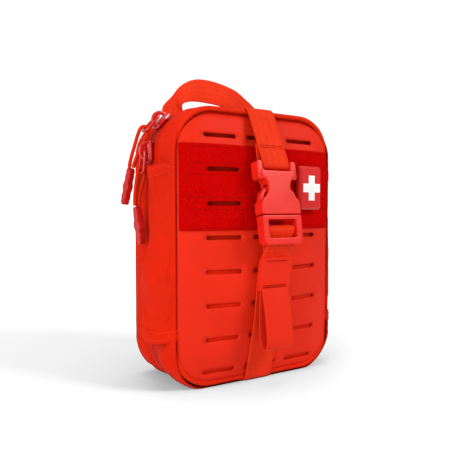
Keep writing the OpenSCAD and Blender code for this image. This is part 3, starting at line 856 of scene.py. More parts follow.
def zip_teeth(name, s, body, node):
    """One row of coil teeth that reach over the middle of the zip."""
    rows = zip_outline(1.0)
    path = at_depth(rows, ZIP_Y, 0.55)
    out = outwards(rows)
    along = lengths(path)
    stitches = Stitches()
    pitch = 1.7
    start = pitch * (0.25 if s < 0 else 0.75)
    for at in np.arange(start, along[-1], pitch):
        p = along_path(path, along, at)
        n = unit(along_path(out, along, at))
        stitches.seam([p + Y * s * 2.6, p - Y * s * 0.3], n, 2.9, 2.8, 0.55, 0.2)
    return fit(add_mesh(name, stitches.verts, stitches.faces, COIL), body, "zip_coil", node)


zip_tape("front_tape", ZIP_Y - 12.6, ZIP_Y - 1.5, "front_half", "front_zip_tape")
zip_tape("rear_tape", ZIP_Y + 1.5, ZIP_Y + 12.6, "rear_half", "rear_zip_tape")
zip_teeth("front_teeth", -1, "front_half", "front_zip_coil")
zip_teeth("rear_teeth", 1, "rear_half", "rear_zip_coil")


def seam_fold(name, y0, y1, body):
    """The turned edge of a gusset where it is topstitched to the zip tape."""
    rows = outline(0.0, 2.5)
    rows = rows[rows[:, 1] > 3.0]
    s = 1 if y1 > y0 else -1
    profile = [(y0, 0.15), (y0 + s * 0.6, 0.75), (y0 + s * 2.5, 0.85), (y1 - s * 0.5, 0.8), (y1, 0.15)]
    points = np.array([at_depth(rows, y, out) for y, out in profile])
    obj = cloth_sheet(name, points, NYLON, 0.5, False, float(s))
    return fit(obj, body, "nylon")


seam_fold("front_seam_fold", FRONT_SEAM - 4.6, FRONT_SEAM + 0.4, "front_half")
seam_fold("rear_seam_fold", REAR_SEAM - 0.4, REAR_SEAM + 4.6, "rear_half")

front_thread, rear_thread = Stitches(), Stitches()
side_rows = zip_outline()
front_thread.seam(at_depth(side_rows, FRONT_SEAM - 1.6, 0.85), outwards(side_rows), 3.4, 2.4, 0.3)
rear_thread.seam(at_depth(side_rows, REAR_SEAM + 1.6, 0.85), outwards(side_rows), 3.4, 2.4, 0.3)


def hinge_strip():
    """The fabric hinge along the base, between the two ends of the zip."""
    rows = outline(0.0, 3.0)
    foot = rows[rows[:, 1] <= 7.5]
    foot = foot[np.argsort(foot[:, 0])]
    points = np.array([at_depth(foot, y, -0.25 - 0.5 * math.sin(math.pi * k / 16))
                       for k, y in enumerate(np.linspace(FRONT_SEAM - 1.5, REAR_SEAM + 1.5, 17))])
    points[:, :, 2] = np.maximum(points[:, :, 2], 0.15)
    obj = cloth_sheet("hinge_strip", points, NYLON, 0.7, False, 1.0)
    applied(obj)
    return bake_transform(obj)


hinge_strip()

# ---- Front panel and hook-and-loop field ----

SLOTS = slot_loops()
PANEL_INSET = 5.2
PANEL_SIDE = 2.8


def panel_place(x, z, d):
    """The laminate stands a little proud between the slots and dips at its rim."""
    row = math.cos(2 * math.pi * (z - SLOT_MID_Z) / ROW_PITCH)
    column = abs(math.cos(math.pi * x / COLUMN_PITCH))
    wave = 0.28 * row * column + ripple((x, 0, z), 0.035, 0.7, 2.0)
    rim = min(HALF_W - PANEL_SIDE - abs(x), CASE_H - PANEL_INSET - z, z - PANEL_INSET)
    return on_front(x, z, wave * min(max(rim, 0) / 14, 1) - 0.3 * max(1 - rim / 6, 0) - d)


face_panel("slotted_panel", PANEL_INSET, panel_place, "front_half", "laminate", LAMINATE, 1.3, 3.4,
           ("molle_panel",), SLOTS,
           PANEL_SIDE)


def pile_place(x, z, d):
    p = panel_place(x, z, 0)
    tuft = (0.30 * noise.noise(Vector((x * 1.3, z * 1.3, 4.0)))
            + 0.22 * noise.noise(Vector((x * 2.9, z * 2.9, 9.0))))
    edge = min(z - LOOP_Z0, LOOP_Z1 - z, 2.0) / 2.0
    p[1] -= 1.65 - d if d else 1.25 + 0.35 * edge + tuft
    return p


def pile_field():
    holes = [loop for loop in SLOTS if LOOP_Z0 < loop[0][1] < LOOP_Z1]
    half = HALF_W - 4.0
    edge = rounded_loop(-half, LOOP_Z0, half, LOOP_Z1, 1.0)
    dense = []
    for a, b in zip(edge, edge[1:] + edge[:1]):
        count = max(int(math.dist(a, b) / 1.5), 1)
        dense += [(a[0] + (b[0] - a[0]) * t, a[1] + (b[1] - a[1]) * t) for t in np.arange(count) / count]
    flat, faces = cut_sheet(dense, holes, 1.25)
    obj = panel("loop_pile_field", flat, faces, pile_place, 1.6, PILE)
    return fit(obj, "front_half", "loop_pile", "loop_field")


pile_field()

LOOP_ROWS = [SLOT_MID_Z + k * ROW_PITCH + side for k in (1.5, 2.5) for side in (-4.3, 4.3)]
loop_thread = Stitches()
for z in (LOOP_Z1 - 2.2, *LOOP_ROWS, LOOP_Z0 + 2.0):
    line = np.array([panel_place(x, z, -1.75) for x in np.arange(-67, 67.1, 1.5)])
    loop_thread.seam(line, [front_normal(x, z) for x in np.arange(-67, 67.1, 1.5)], 3.1, 2.0, 0.26, 0.0)
# these stitches take the thread darkened as painted shade of the needle holes
loop_thread.piece("loop_field_stitches", "front_half", "loop_pile", THREAD_SHADED)

# ---- Side sleeves ----

SLEEVE_LO, SLEEVE_HI = box_mm("left_sleeve")
SLEEVE_SECTION = [(-0.4, -2.6), (0.6, 0.6), (3.5, 3.4), (8, 5.9), (13, 7.8), (18, 9.0), (23, 9.7),
                  (26.5, 9.3), (28.6, 7.2), (29.2, 3.6), (28.6, 0.5)]
SLEEVE_CURVE = curve_through(SLEEVE_SECTION, 1.0)


def sleeve_point(s, t, z):
    """A point of the sleeve: t runs from the front seam round to the zip seam."""
    section = SLEEVE_CURVE
    at = t * (len(section) - 1)
    k = min(int(at), len(section) - 2)
    depth, out = section[k] + (section[k + 1] - section[k]) * (at - k)
    up = (z - SLEEVE_LO[2]) / (SLEEVE_HI[2] - SLEEVE_LO[2])
    high = min(max((up - 0.38) / 0.22, 0), 1)
    full = 1.20 - 0.42 * high * high * (3 - 2 * high)
    slack = math.sin(math.pi * t)
    over = (0.6 * high + 11.0 * (1 - high) * math.sin(math.pi * min(up * 1.5 + 0.12, 1))) * (depth / 29) ** 3
    out = out * full + slack * ripple((depth, s * 20, z * 0.7), 0.045, 1.5 + 1.3 * (1 - high), 7.0)
    depth += over * min(max(out, 0) / 7, 1)
    return np.array([s * (HALF_W + out), FRONT_Y + depth,
                     z + slack * (1.1 * math.sin(t * 7) * up - 3.2 * (1 - up) ** 6)])


shaded_thread = Stitches()


def sleeve(name, s, node):
    z0, z1 = SLEEVE_LO[2], SLEEVE_HI[2]
    ts, zs = np.linspace(0, 1, 26), np.linspace(z0, z1, 46)
    points = np.array([[sleeve_point(s, t, z) for t in ts] for z in zs])
    obj = cloth_sheet(name, points, NYLON, 0)
    pins = np.zeros((len(zs), len(ts)))
    pins[:, 0] = pins[:, -1] = 1
    pins[[0, 1, -2, -1]] = np.maximum(pins[[0, 1, -2, -1]], 0.85)
    settle(obj, pins.ravel(), frames=14, grow=0.02, pressure=0.25, gravity=0.3, cap=2.5)
    shape = np.array([v.co for v in obj.data.vertices]).reshape(len(zs), len(ts), 3) / MM
    outward = 1.0 if s < 0 else -1.0
    modify(obj, "SOLIDIFY", thickness=0.9 * MM, offset=outward)
    modify(obj, "SUBSURF", levels=1, render_levels=1)
    fit(obj, "front_half", "nylon", node)
    mid = shape.mean(axis=(0, 1))
    for tag, a, b, seams in (("top", -4, -1, (-2.9, -1.0)), ("bottom", 0, 3, (0.8, 2.6))):
        rows = shape[a:] if a < 0 else shape[a:b + 1]
        out = unit(rows - np.array([s * HALF_W * 0.8, mid[1], 0]) * [1, 1, 0] - rows * [0, 0, 1])
        hem = cloth_sheet(name + "_hem_" + tag, rows + out * 0.55, NYLON, 1.1, False, -outward)
        round_edges(hem, 0.35)
        fit(hem, "front_half", "nylon")
        for at in seams:
            k = (len(zs) - 1 + at) if at < 0 else at
            low, part = int(math.floor(k)), k - math.floor(k)
            path = shape[low] * (1 - part) + shape[min(low + 1, len(zs) - 1)] * part
            away = unit((path - [s * HALF_W * 0.8, mid[1], 0]) * [1, 1, 0])
            front_thread.seam(path + away * 0.62, away, 3.2, 2.2, 0.34)


sleeve("left_sleeve_cloth", -1, "left_sleeve")
sleeve("right_sleeve_cloth", 1, "right_sleeve")

# ---- Strap ----

BUCKLE_AT = np.array([0.0, -62.0, 140.0])
LEAN = math.radians(10.0)
BAR_Z, MALE_BAR_Z, BAR_R = 29.5, -20.0, 2.0
WRAP_R = BAR_R + 0.25 + WEB_T / 2


def buckle_space(p):
    y = p[1] * math.cos(LEAN) + p[2] * math.sin(LEAN)
    z = -p[1] * math.sin(LEAN) + p[2] * math.cos(LEAN)
    return BUCKLE_AT + np.array([p[0], y, z])


def in_plane(points):
    """Points in Y and Z on the middle plane."""
    return np.array([[0.0, y, z] for y, z in points])


def local_arc(cy, cz, r, a0, a1, n=9):
    found = [buckle_space(np.array([0, cy + r * math.cos(a), cz + r * math.sin(a)]))
             for a in np.radians(np.linspace(a0, a1, n))]
    return [(p[1], p[2]) for p in found]


def local(y, z):
    p = buckle_space(np.array([0, y, z]))
    return (p[1], p[2])


def face_up(path):
    """The side of a strap path that faces away from the case."""
    t = unit(np.gradient(path, axis=0))
    return np.stack([np.zeros(len(path)), t[:, 2], -t[:, 1]], axis=1)


def strap(name, points, body, slot, material, width, thick, nodes, step=1.5, drift=0.0):
    path = curve_through(in_plane(points), step)
    path[:, 0] += drift * np.clip(1 - path[:, 2] / 70, 0, 1)
    obj = sweep(name, path, face_up(path), band(width, thick), material)
    if body:
        fit(obj, body, slot, *nodes)
    return obj, path


TOP = CASE_H
UPPER = [(-12, TOP + 0.9), (-22, TOP + 0.9), (-31, TOP + 1.0), (-33.8, TOP + 2.0), (-36.5, TOP + 2.4),
         (-39, TOP + 1.2), (-40.6, TOP - 1.5), (-46.5, 199), (-53.3, 184.5), (-57.4, 176.5),
         *local_arc(0, BAR_Z, WRAP_R, 180, 370), (-51.9, 178), (-50.7, 185.5)]
strap("upper_strap", UPPER, "front_half", "webbing", WEBBING, WEB_W, WEB_T, ("strap_upper",))

LOWER = [(-14, 0.95), (-30, 0.95), (-36, 0.85), (-38.4, 1.9), (-39.3, 4.4), (-41.2, 12), (-45.3, 30),
         (-49.4, 50), (-53.2, 80), (-56.6, 96), local(3.6, -33), local(3.7, -25),
         *local_arc(0.5, MALE_BAR_Z, WRAP_R, 20, 180), local(-1.0, -23.2), local(1.1, -27), local(1.0, -32.8)]
lower, _ = strap("lower_strap", LOWER, None, "webbing", WEBBING, WEB_W, WEB_T, (), drift=-1.5)
applied(lower)
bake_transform(lower)
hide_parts("strap_lower")

TAIL = [(-61.4, 108), (-61.2, 103), (-60.7, 98.5), (-59.3, 91), (-58.2, 84), (-57.2, 77)]
strap("tail_webbing", TAIL, "tail", "webbing", WEBBING, WEB_W, WEB_T, ("strap_tail",))


def cross_seam(stitches, y, z, out, half, pitch=2.6, wander=0.0):
    """A row of stitches straight across a strap."""
    xs = np.arange(-half, half + 0.1, 1.0)
    path = np.array([[x, y, z + wander * math.sin(x * 0.9)] for x in xs])
    stitches.seam(path, out, pitch, 1.8, 0.3, 0.2)


slant = unit(np.array([0, -40.0, -20.0]))
for k in (0.0, 1.6):
    cross_seam(shaded_thread, -54.25 - 0.48 * k, 184.2 - k, slant, 11.2, 2.4, 0.3)
for y in (-13.5, -19.5):
    cross_seam(shaded_thread, y, TOP + 1.7, Z, 10.5)
for s in (-1, 1):
    box = np.array([[s * 10.5, y, TOP + 1.7] for y in np.arange(-19.5, -13.4, 1)])
    shaded_thread.seam(box, Z, 2.6, 1.8, 0.3)
# the strap stitches take the thread darkened as painted shade of the needle holes
shaded_thread.piece("strap_stitches", "front_half", "webbing", THREAD_SHADED)

# ---- Pull tab ----

TAB_W, TAB_T, TAB_SIDE = 28.0, 1.3, 0.4


def tab_pieces():
    out = [(-63.6, 99.2), (-61.6, 92), (-60.2, 84), (-59.0, 74.2)]
    back = [(-55.4, 74.2), (-56.3, 84), (-57.4, 91), (-60.2, 99.0)]
    loop = out + [(-57.2, 73.4)] + back + [(-61.9, 99.9)]
    flat = [(y, z) for y, z in loop]
    verts = [[s * TAB_W / 2 + TAB_SIDE, y, z] for s in (-1, 1) for y, z in flat]
    n = len(flat)
    faces = [tuple(range(n)), tuple(range(2 * n - 1, n - 1, -1))]
    faces += [(i, n + i, n + (i + 1) % n, (i + 1) % n) for i in range(n)]
    uvs = [[x + 40, z] for x, y, z in verts]
    wrap = add_mesh("tab_wrap", verts, faces, LAMINATE, uvs, False)
    face_outwards(wrap)
    round_edges(wrap, 0.5, 3, 20.0)
    fit(wrap, "tail", "laminate", "pull_tab")
    fall = [(-58.6, 76), (-60.0, 70), (-62.2, 60), (-64.2, 48), (-65.4, 39), (-65.2, 33.2), (-63.4, 30.0),
            (-60.4, 29.6), (-58, 32.5), (-56.4, 38), (-55.5, 46), (-55.2, 57), (-55.8, 67), (-56.9, 76)]
    hanging, _ = strap("tab_loop", fall, "tail", "laminate", LAMINATE, TAB_W - 3.2, TAB_T, ())
    for vertex in hanging.data.vertices:
        vertex.co.x += TAB_SIDE * MM
    thread = Stitches()
    cross_seam(thread, -63.1, 96.6, [0, -1, 0.2], 10.5, 2.2)
    cross_seam(thread, -59.5, 76.4, [0, -1, 0.1], 11.5, 2.2)
    cross_seam(thread, -59.65, 77.8, [0, -1, 0.1], 11.5, 2.2)
    # the tab stitches take the thread darkened as painted shade of the needle holes
    thread.piece("tab_stitches", "tail", "laminate", THREAD_SHADED)


tab_pieces()

# ---- Buckle ----


def mirrored(half):
    """A full loop from its right half, bottom to top."""
    return list(half) + [(-x, z) for x, z in reversed(half)]


def female_half():
    waist = curve_through([(17.9, -6), (17.9, -1.5), (16.6, 2.0), (12.8, 5.6), (10.6, 9.4), (10.3, 13.0),
                           (11.6, 16.8), (15.0, 19.6), (16.0, 20.4)], 0.8)
    face = mirrored([(17.0, -8.7), (17.9, -7.8)] + [tuple(p) for p in waist] + [(15.6, 23.4), (14.0, 25.2)])
    lug = rounded_loop(13.2, 17.6, 18.2, 32.2, 2.4, 6)
    adds = [(face, -5.6, 5.4), (lug, -4.6, 4.6), ([(-x, z) for x, z in lug], -4.6, 4.6),
            (rounded_loop(-14, BAR_Z - BAR_R, 14, BAR_Z + BAR_R, 0.8), -BAR_R, BAR_R)]
    cuts = [(rounded_loop(-16.5, -12, 16.5, 14, 1.5), -3.0, 3.0),
            (rounded_loop(-13.0, 24.4, 13.0, 26.8, 0.6), -8, 8),
            (rounded_loop(-13.0, 24.8, 13.0, 40, 0.5), -8, -2.2),
            (rounded_loop(-13.0, 22.5, 13.0, 40, 0.5), 2.2, 8)]
    body = moulded_solid("buckle_socket", adds, cuts, BUCKLE, buckle_space, 0.5, 4)
    fit(body, "front_half", "buckle_plastic", "buckle_female")


def male_half():
    frame_loop = mirrored([(14.5, -31.6), (16.6, -30.6), (17.6, -28.4), (18.0, -24), (18.0, -10.2),
                           (17.2, -9.2)])
    guide = mirrored([(2.9, -10), (2.7, 7), (1.6, 10.6)])
    adds = [(frame_loop, -4.9, 4.1), (guide, -2.6, 2.6)]
    cuts = [(rounded_loop(-13.2, -26.4, 13.2, -12.6, 1.2), -9, 9),
            ([(-13.2, -34), (13.2, -34), (13.2, -25), (-13.2, -25)], -0.4, 9)]
    body = moulded_solid("buckle_ladder", adds, cuts, BUCKLE, buckle_space, 0.5, 4)
    fit(body, "male_half", "buckle_plastic", "buckle_male")
    ends = [buckle_space(np.array([x, 0.5, MALE_BAR_Z])) for x in (-14, 14)]
    bar = sweep("buckle_bar", ends, Z, circle(BAR_R - 0.1, 20), BUCKLE)
    fit(bar, "male_half", "buckle_plastic")


def prong(name, s, node):
    arm = curve_through([(11.4, -9.0), (12.0, -4), (13.6, 0), (15.2, 3.2), (14.6, 6.4), (11.8, 9.4),
                         (7.2, 12.0)], 0.7)
    loop = strip_loop(arm, 3.2)
    obj = moulded_solid(name, [([(s * x, z) for x, z in loop], -2.6, 2.6)], [], BUCKLE, buckle_space, 0.45, 4)
    fit(obj, "left_prong" if s < 0 else "right_prong", "buckle_plastic", node)


female_half()
male_half()
prong("buckle_arm_left", -1, "prong_left")
prong("buckle_arm_right", 1, "prong_right")

# ---- Badge ----

BADGE_X, BADGE_Z = 38.3, 152.7
DOME_R = (HALF_W ** 2 + BULGE ** 2) / (2 * BULGE)
BADGE_TURN = math.radians(8)
BADGE_ROOT = np.array([BADGE_X, FRONT_Y - BULGE + DOME_R - math.sqrt(DOME_R ** 2 - BADGE_X ** 2), BADGE_Z])


def badge_space(p):
    y = p[1] - 2.7
    c, s = math.cos(BADGE_TURN), math.sin(BADGE_TURN)
    return BADGE_ROOT + np.array([p[0] * c - y * s, p[0] * s + y * c, p[2]])


def badge_pieces():
    levels = [(0.0, 0.2, 3.2), (-0.5, 0.0, 3.4), (-3.0, 0.0, 3.4), (-3.5, 0.25, 3.2), (-4.9, 1.9, 1.9),
              (-5.05, 2.3, 1.6)]
    rings = []
    for depth, inset, r in levels:
        loop = rounded_loop(-13 + inset, -17.5 + inset, 13 - inset, 17.5 - inset, r, 6)
        rings += [badge_space(np.array([x, depth, z])) for x, z in loop]
    n = len(rings) // len(levels)
    faces = [f[::-1] for f in grid_faces(len(levels), n, True)]
    faces += [tuple(range(n))[::-1], tuple((len(levels) - 1) * n + i for i in range(n))]
    base = add_mesh("badge_block", rings, faces, BADGE)
    face_outwards(base)
    modify(base, "WEIGHTED_NORMAL", keep_sharp=False)
    fit(base, "badge", "badge_red", "badge_base")
    arm, reach = 3.5, 10.0
    loop = [(-arm, -reach), (arm, -reach), (arm, -arm), (reach, -arm), (reach, arm), (arm, arm),
            (arm, reach), (-arm, reach), (-arm, arm), (-reach, arm), (-reach, -arm), (-arm, -arm)]
    cross = prism_object([(loop, -5.5, -4.9)], badge_space)
    cross.name = "badge_white_cross"
    repaint(cross, WHITE, False)
    face_outwards(cross)
    round_edges(cross, 0.2, 2)
    fit(cross, "badge", "badge_white", "badge_cross")


badge_pieces()

# ---- Handle ----

HANDLE_Y = BACK_Y + 1.1
HANDLE_HALF = 42.5
# The handle's two edges, measured on the photograph at the fitted scale.
HANDLE_UPPER = [(-52.6, 27.2, 187), (-52.6, 27.2, 205), (-52.4, 27.5, 214.6), (-51.4, 29, 222),
                (-43.5, 31, 229.9), (-31.3, 33, 242), (-20, 33, 248), (-9, 33, 249.4), (6, 33, 248),
                (22.5, 32, 243.4), (32, 30.5, 237), (41, 29, 230), (50, 27.8, 221), (54, 27.2, 212),
                (54, 27.2, 200), (54, 27.2, 187)]
HANDLE_LOWER = [(-30.5, 27.2, 187), (-30.5, 27.2, 205), (-31.2, 27, 213.5), (-33.6, 26, 219.5),
                (-35.4, 23.6, 224.4), (-30.5, 22, 226.8), (-23.8, 21, 227.4), (-13.9, 21, 227.2),
                (-1.8, 21, 226.2), (9.3, 22, 224.4), (17, 24, 221.4), (24, 26, 217.6), (28.6, 26.8, 214),
                (31, 27.2, 209), (31, 27.2, 200), (31, 27.2, 187)]


def handle_sheet():
    """The webbing arch, stretched between its upper and lower edges."""
    upper, lower = curve_through(HANDLE_UPPER, 1.0), curve_through(HANDLE_LOWER, 1.0)
    rows = []
    for t in np.linspace(0, 1, 110):
        a, b = (along_path(e, np.arange(len(e)), t * (len(e) - 1)) for e in (upper, lower))
        arch = math.sin(math.pi * t)
        crease = 1.6 * math.exp(-((t - 0.27) / 0.035) ** 2)
        rows.append([b + (a - b) * k
                     + Y * (crease * math.sin(math.pi * k) - 1.2 * arch * math.sin(math.pi * k))
                     for k in np.linspace(0, 1, 13)])
    return cloth_sheet("handle_webbing", np.array(rows), WEBBING, WEB_T, False, 1.0)


handle = handle_sheet()
round_edges(handle, 0.3)
applied(handle)
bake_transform(handle)
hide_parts("carry_handle", "handle_anchors")
for s in (-1, 1):
    x0, x1 = s * HANDLE_HALF - 10, s * HANDLE_HALF + 10
    ring = [(x0, 190), (x1, 190), (x1, 207), (x0, 207), (x0, 190), (x1, 207), (x1, 190), (x0, 207)]
    for a, b in zip(ring, ring[1:]):
        line = np.array([[a[0] + (b[0] - a[0]) * t, HANDLE_Y + 0.75, a[1] + (b[1] - a[1]) * t]
                         for t in np.linspace(0, 1, 12)])
        rear_thread.seam(line, Y, 2.8, 2.0, 0.3)

# ---- Sliders and pulls ----


def turned(angle, pivot=(0, 0, 0)):
    """A rotation about Y through a pivot, by an angle in degrees."""
    a = math.radians(angle)
    c, s = math.cos(a), math.sin(a)
    pivot = np.asarray(pivot, float)

    def move(p):
        q = np.asarray(p, float) - pivot
        return pivot + np.array([q[0] * c + q[2] * s, q[1], -q[0] * s + q[2] * c])
    return move


SLIDER_1_ANGLE = 44.0
CORNER = np.array([-(HALF_W - CORNER_R), 0.0, CASE_H - CORNER_R])
SLIDER_2_Z = 180.0
SLIDER_OUT, BAIL_R = 4.2, 6.4


def slider_pieces(name, place, body, node):
    """place takes a point of a slider on a straight zip at x = 0, facing -X."""
    def flat(p):
        return place(np.array([p[1], ZIP_Y + p[0], p[2]]))
    plate = mirrored([(3.4, -8.2), (5.3, -6.2), (5.1, 2.2), (3.8, 8.2)])
    inner = mirrored([(2.2, -6.2), (3.1, -4.8), (2.9, 1.4), (2.2, 6.0)])
    adds = [(plate, -SLIDER_OUT, -SLIDER_OUT + 2.0), (inner, -SLIDER_OUT - 1.0, -SLIDER_OUT + 0.4),
            ([(3.0, -6), (4.7, -6), (4.7, 6), (3.0, 6)], -SLIDER_OUT + 0.8, -SLIDER_OUT + 3.6)]
    obj = moulded_solid(name, adds, [], PAINT, flat, 0.32, 3)
    fit(obj, body, "zip_metal", node)
    arch = [[-SLIDER_OUT + 0.4 - BAIL_R * math.sin(a), ZIP_Y, -BAIL_R * math.cos(a)]
            for a in np.linspace(0, math.pi, 21)]
    bail = sweep(name + "_bail", [place(p) for p in arch], [0, 1, 0.01], band(3.6, 2.4, 4), PAINT)
    modify(bail, "SUBSURF", levels=1, render_levels=1)
    fit(bail, body, "zip_metal")


def on_corner(p):
    return turned(SLIDER_1_ANGLE, CORNER)(np.asarray(p, float) + CORNER - [CORNER_R, 0, 0])


def on_side(p):
    return np.asarray(p, float) + [-HALF_W, 0, SLIDER_2_Z]


slider_pieces("zip_slider_top", on_corner, "zip_slider_1", "slider_1")
slider_pieces("zip_slider_side", on_side, "zip_slider_2", "slider_2")


def link_piece(name, place, body, node):
    """A wire link, pinched at the bail and wider at the cord."""
    loop = []
    for z, y in ((0.0, 0.0), (0.0, 2.6), (-1.4, 3.7), (-5.0, 3.9), (-10.0, 4.2), (-14.2, 3.9), (-15.5, 2.4),
                 (-15.6, 0.0)):
        loop.append((y, z))
    loop += [(-y, z) for y, z in loop[-2:0:-1]]
    path = curve_through([(0, y, z) for y, z in loop + loop[:1]], 0.7)[:-1]
    rings = [place(p) for p in path]
    obj = sweep(name, rings, place(np.array([1.0, 0, 0])) - place(np.zeros(3)), band(2.8, 2.2, 4), PAINT,
                True)
    modify(obj, "SUBSURF", levels=1, render_levels=1)
    fit(obj, body, "zip_metal", node)


LINK_1_AT = on_corner([-8.0, ZIP_Y, 0])
LINK_2_AT = on_side([-8.0, ZIP_Y, 0])
LINK_1_TURN, LINK_2_LEAN = 42, math.radians(13)


def hang_1(p):
    return turned(LINK_1_TURN)(p) + LINK_1_AT


def hang_2(p):
    c, s = math.cos(LINK_2_LEAN), math.sin(LINK_2_LEAN)
    return LINK_2_AT + np.array([p[0], p[1] * c - p[2] * s, p[1] * s + p[2] * c])


link_piece("pull_link_top", hang_1, "zip_pull_1", "pull_link_1")
link_piece("pull_link_side", hang_2, "zip_pull_2", "pull_link_2")

ROUTE_1 = [(-88.8, 11.3, 168.2), (-88.6, 10.2, 172), (-88, 7.6, 178), (-87.2, 4.4, 184.5),
           (-86.2, 1.2, 191.5), (-85.1, -1, 196.3), (-83.2, -1.9, 198.6), (-80.4, -2, 198.6),
           (-78.5, -1.8, 196.3), (-78.9, -0.8, 193.1), (-80.6, 1.2, 188.8), (-82.8, 4.2, 182.5),
           (-84.4, 7.2, 176.5), (-85.5, 9.6, 171), (-85.8, 10.6, 168.2)]
ROUTE_2 = [(-88.2, 2, 138.4), (-88.2, 2.1, 144), (-87.6, 2.2, 151), (-86.8, 2, 158), (-86, 1.7, 163),
           (-85.2, 1.5, 166.6), (-83, 1.5, 167.8), (-80.8, 1.5, 166.6), (-80.2, 1.7, 163), (-81.2, 2, 158),
           (-83.2, 2.2, 151), (-84.8, 2.1, 144), (-85.1, 2, 138.4)]
CORD_R = 1.45


def cord_piece(name, route, body, node):
    path = curve_through(route, 0.9)
    obj = sweep(name, path, [0.2, 0.9, 0.1], circle(CORD_R, 12), CORD)
    return fit(obj, body, "cord", node), path


def grip_piece(name, place, body, node):
    bumps = [round_loop(0, z, r) for z, r in ((7, 3.9), (15, 5.0), (22.5, 3.8))]
    adds = [(loop, -2.5, 2.5) for loop in [rounded_loop(-3.2, 0.4, 3.2, 29.8, 2.4)] + bumps]
    cuts = [(rounded_loop(-2.0, z - 0.9, 2.0, z + 0.9, 0.8), d0, d1)
            for z in (11.0, 19.2) for d0, d1 in ((-4, -1.8), (1.8, 4))]

    def flat(p):
        return place(np.array([p[1], p[0], p[2] - 30]))
    obj = moulded_solid(name, adds, cuts, GRIP, flat, 0.42, 5)
    return fit(obj, body, "grip_rubber", node)


def tilt(p, about_x, about_y, at):
    a, b = math.radians(about_x), math.radians(about_y)
    y, z = p[1] * math.cos(a) - p[2] * math.sin(a), p[1] * math.sin(a) + p[2] * math.cos(a)
    x, z = p[0] * math.cos(b) + z * math.sin(b), -p[0] * math.sin(b) + z * math.cos(b)
    return np.array([x, y, z]) + at


cord_1, path_1 = cord_piece("pull_cord_top", ROUTE_1, "zip_pull_1", "pull_cord_1")
cord_2, path_2 = cord_piece("pull_cord_side", ROUTE_2, "zip_pull_2", "pull_cord_2")
for cord, path in ((cord_1, path_1), (cord_2, path_2)):
    lengths(path)[-1] * MM
grip_piece("pull_grip_top", lambda p: tilt(p, 14, 6, [-87.3, 10.95, 168]), "zip_pull_1", "pull_grip_1")
grip_piece("pull_grip_side", lambda p: tilt(p, 0, -7, [-86.6, 2, 138]), "zip_pull_2", "pull_grip_2")

# ---- Rip-away back panel ----

RIP_FRONT = box_mm("rip_panel")[0][1]
RIP_Y = box_mm("rip_panel")[1][1]


def back_panel():
    def place(x, z, d):
        rim = min(HALF_W - 5 - abs(x), CASE_H - 5 - z, z - 5)
        return np.array([x, RIP_Y - 0.4 + 0.35 * min(max(rim, 0) / 8, 1)
                         + ripple((x, 0, z), 0.04, 0.25, 6) - d, z])
    edge = [tuple(p) for p in outline(3.0, 4.0)[:, :2]]
    flat, faces = cut_sheet(edge, [], 5.0)
    obj = panel("back_board", flat, faces, place, RIP_Y - RIP_FRONT - 0.4, NYLON, False)
    fit(obj, "back_panel", "nylon", "rip_panel")
    rows = outline(3.2, 2.5)
    ring = [(-1.9, -2.2), (1.7, -2.2), (2.1, -1.6), (2.1, 1.2), (1.7, 1.8), (-1.9, 1.8), (-2.2, 1.2),
            (-2.2, -1.6)]
    rim = sweep("back_binding", at_depth(rows, (RIP_FRONT + RIP_Y) / 2), Y, ring, BINDING, True)
    modify(rim, "SUBSURF", levels=1, render_levels=1)
    fit(rim, "back_panel", "webbing", "rip_binding")
    thread = Stitches()
    rows = outline(4.4, 2.5)
    thread.seam(at_depth(rows, (RIP_FRONT + RIP_Y) / 2 + 2.2), Y, 3.2, 2.3, 0.3)
    first = True
    for row in range(4):
        z = 28 + 44 * row + WEB_W / 2
        xs = np.arange(-62, 62.1, 1.55)
        gap = COLUMN_PITCH / 2
        path = np.array([[x, RIP_Y + 0.9 + 0.5 * abs(math.sin(math.pi * (x - gap) / (2 * gap))), z]
                         for x in xs])
        obj = sweep(f"back_webbing_{row + 1}", path, Y, band(WEB_W, WEB_T - 0.2), WEBBING)
        fit(obj, "back_panel", "webbing", *(("rip_webbing",) if first else ()))
        first = False
        for x in np.arange(-3, 4) * gap:
            for dx in (-0.8, 0.8):
                line = [[x + dx, RIP_Y + 1.62, z + t] for t in np.linspace(-11, 11, 12)]
                thread.seam(line, Y, 1.7, 1.4, 0.34)
    for s in (-1, 1):
        x = s * COLUMN_PITCH
        zs = np.arange(17, 197.1, 2.0)
        path = np.array([[x, RIP_Y + 3.0 + 0.25 * math.sin(z * 0.14), z] for z in zs])
        obj = sweep("back_strap_" + ("left" if s < 0 else "right"), path, Y, band(WEB_W - 1, WEB_T - 0.1),
                    WEBBING)
        fit(obj, "back_panel", "webbing", *(("rip_straps",) if s < 0 else ()))
        for z in (189, 194):
            thread.seam([[x + t, RIP_Y + 3.9, z] for t in np.linspace(-10, 10, 12)], Y, 1.9, 1.5, 0.34)
        rings = [(5.9, 0), (5.9, 0.7), (5.2, 1.3), (3.6, 1.5), (3.1, 1.0), (2.0, 0.9), (0.4, 1.0)]
        verts = [[x + r * math.cos(a), RIP_Y + 3.6 + y, 30 + r * math.sin(a)]
                 for r, y in rings for a in np.arange(28) * 2 * math.pi / 28]
        cap = add_mesh("snap_" + ("left" if s < 0 else "right"), verts,
                       grid_faces(len(rings), 28, True) + [tuple(range(28)),
                                                           tuple(6 * 28 + i for i in range(28))], SNAP)
        face_outwards(cap)
        fit(cap, "back_panel", "snap", *(("rip_snaps",) if s < 0 else ()))
    thread.piece("back_stitches", "back_panel", "webbing")


def back_pile():
    edge = rounded_loop(-60, 14, 60, 180, 10, 8)
    flat, faces = cut_sheet(edge, [], 3.0)

    def place(x, z, d):
        return np.array([x, BACK_Y + 1.5 - 0.25 * abs(noise.noise(Vector((x, 0, z)))) - d, z])
    obj = panel("back_pile", flat, faces, place, 1.3, PILE, False)
    fit(obj, "rear_half", "loop_pile", "back_loop_field")


back_panel()
back_pile()

# ---- Inside ----

INNER_Y = BACK_Y - 3.0


